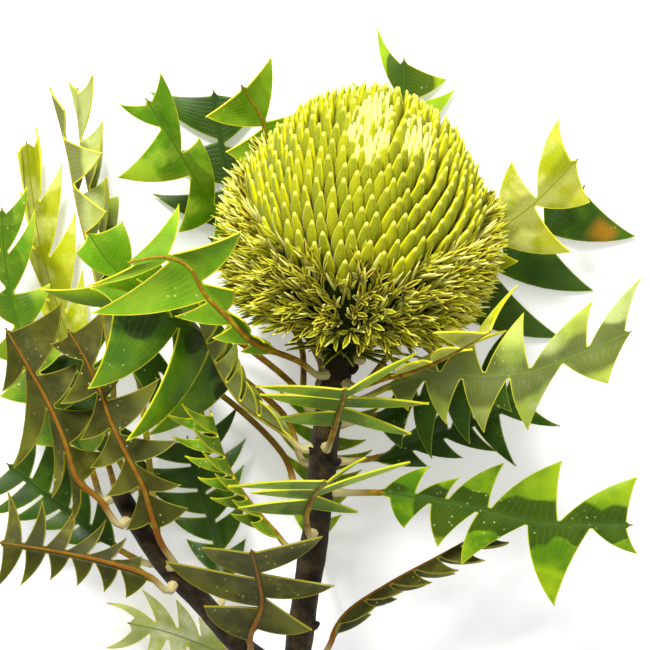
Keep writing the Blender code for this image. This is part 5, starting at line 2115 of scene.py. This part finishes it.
@dataclass(frozen=True)
class Studio:
    """A plain pale floor, soft light and the eye straight over the sprig.

    Attributes:
        floor: Half the floor's side, in metres.
        key: Power of the main light, in watts.
        fill: Power of the light from the other side.
        sky: Strength of the even light from all round.
        sensor: Width of the camera's sensor.
        picture: Width of the sheet that the camera sees, in sheet units.
    """

    floor: float = 3.0
    key: float = 20.0
    fill: float = 2.0
    sky: float = 0.52
    sensor: float = 36.0
    picture: float = 650.0

    @staticmethod
    def hang(name: str, data: bpy.types.ID, place: Sequence[float]) -> Piece:
        """Hangs a light or a camera over the floor.

        Args:
            name: Its name.
            data: The light or camera.
            place: Where it hangs, in metres.

        Returns:
            The object.
        """
        thing = bpy.data.objects.new(name, data)
        thing.location = place
        bpy.context.scene.collection.objects.link(thing)
        return thing

    def lamp(self, name: str, place: Spot, power: float, size: float) -> None:
        """Adds one soft light that looks at the sprig.

        Args:
            name: The light's name.
            place: Where it hangs, in metres.
            power: Its power in watts.
            size: Its side in metres.
        """
        light = bpy.data.lights.new(name, "AREA")
        light.energy = power
        light.size = size
        aim = Vector((0.0, 0.0, 0.04)) - Vector(place)
        self.hang(name, light, place).rotation_euler = aim.to_track_quat("-Z", "Y").to_euler()

    def build(self) -> None:
        """Lays the floor, hangs the lights and sets the eye."""
        bpy.ops.object.select_all(action="DESELECT")
        bpy.ops.mesh.primitive_plane_add(size=self.floor * 2, location=(0, 0, -0.0002))
        floor = bpy.context.object
        floor.name = "studio_floor"
        pale = bpy.data.materials.new("studio_floor_pale")
        pale.use_nodes = True
        floor.data.materials.append(pale)
        world = bpy.context.scene.world = bpy.data.worlds.new("studio_air")
        world.use_nodes = True
        for node, values in (
            (pale.node_tree.nodes["Principled BSDF"], {
                "Base Color": (0.9, 0.9, 0.9, 1), "Roughness": 0.9, "Emission Color": (1, 1, 1, 1),
                "Emission Strength": 0.3,
            }),
            (world.node_tree.nodes["Background"], {"Color": (1, 1, 1, 1), "Strength": self.sky}),
        ):
            for name, value in values.items():
                node.inputs[name].default_value = value
        self.lamp("key_light", (-0.25, 0.75, 0.9), self.key, 0.35)
        self.lamp("fill_light", (0.7, -0.3, 0.8), self.fill, 0.8)
        eye = bpy.data.cameras.new("eye")
        eye.sensor_width = self.sensor
        eye.lens = self.sensor * SHEET.eye / (self.picture / SHEET.units)
        eye.clip_start = 0.05
        eye.clip_end = 20.0
        place = (-SHEET.shift[0] * MM, -SHEET.shift[1] * MM, (SHEET.eye + SHEET.level) * MM)
        bpy.context.scene.camera = self.hang("eye", eye, place)


def main() -> None:
    """Builds the sprig piece by piece and reports each one."""
    logging.basicConfig(level=logging.INFO, format="%(name)s: %(message)s")
    bpy.context.scene.view_settings.view_transform = "Standard"
    Studio().build()
    head = FlowerHead()
    stems = Stems(head)
    made = stems.build() + head.build() + Bracts(head).build()
    made += [Leaf(plan, stems).build() for plan in LEAF_PLANS]
    LOG.info("%d pieces, %d faces", len(made), sum(len(piece.data.polygons) for piece in made))


if __name__ == "__main__":
    main()
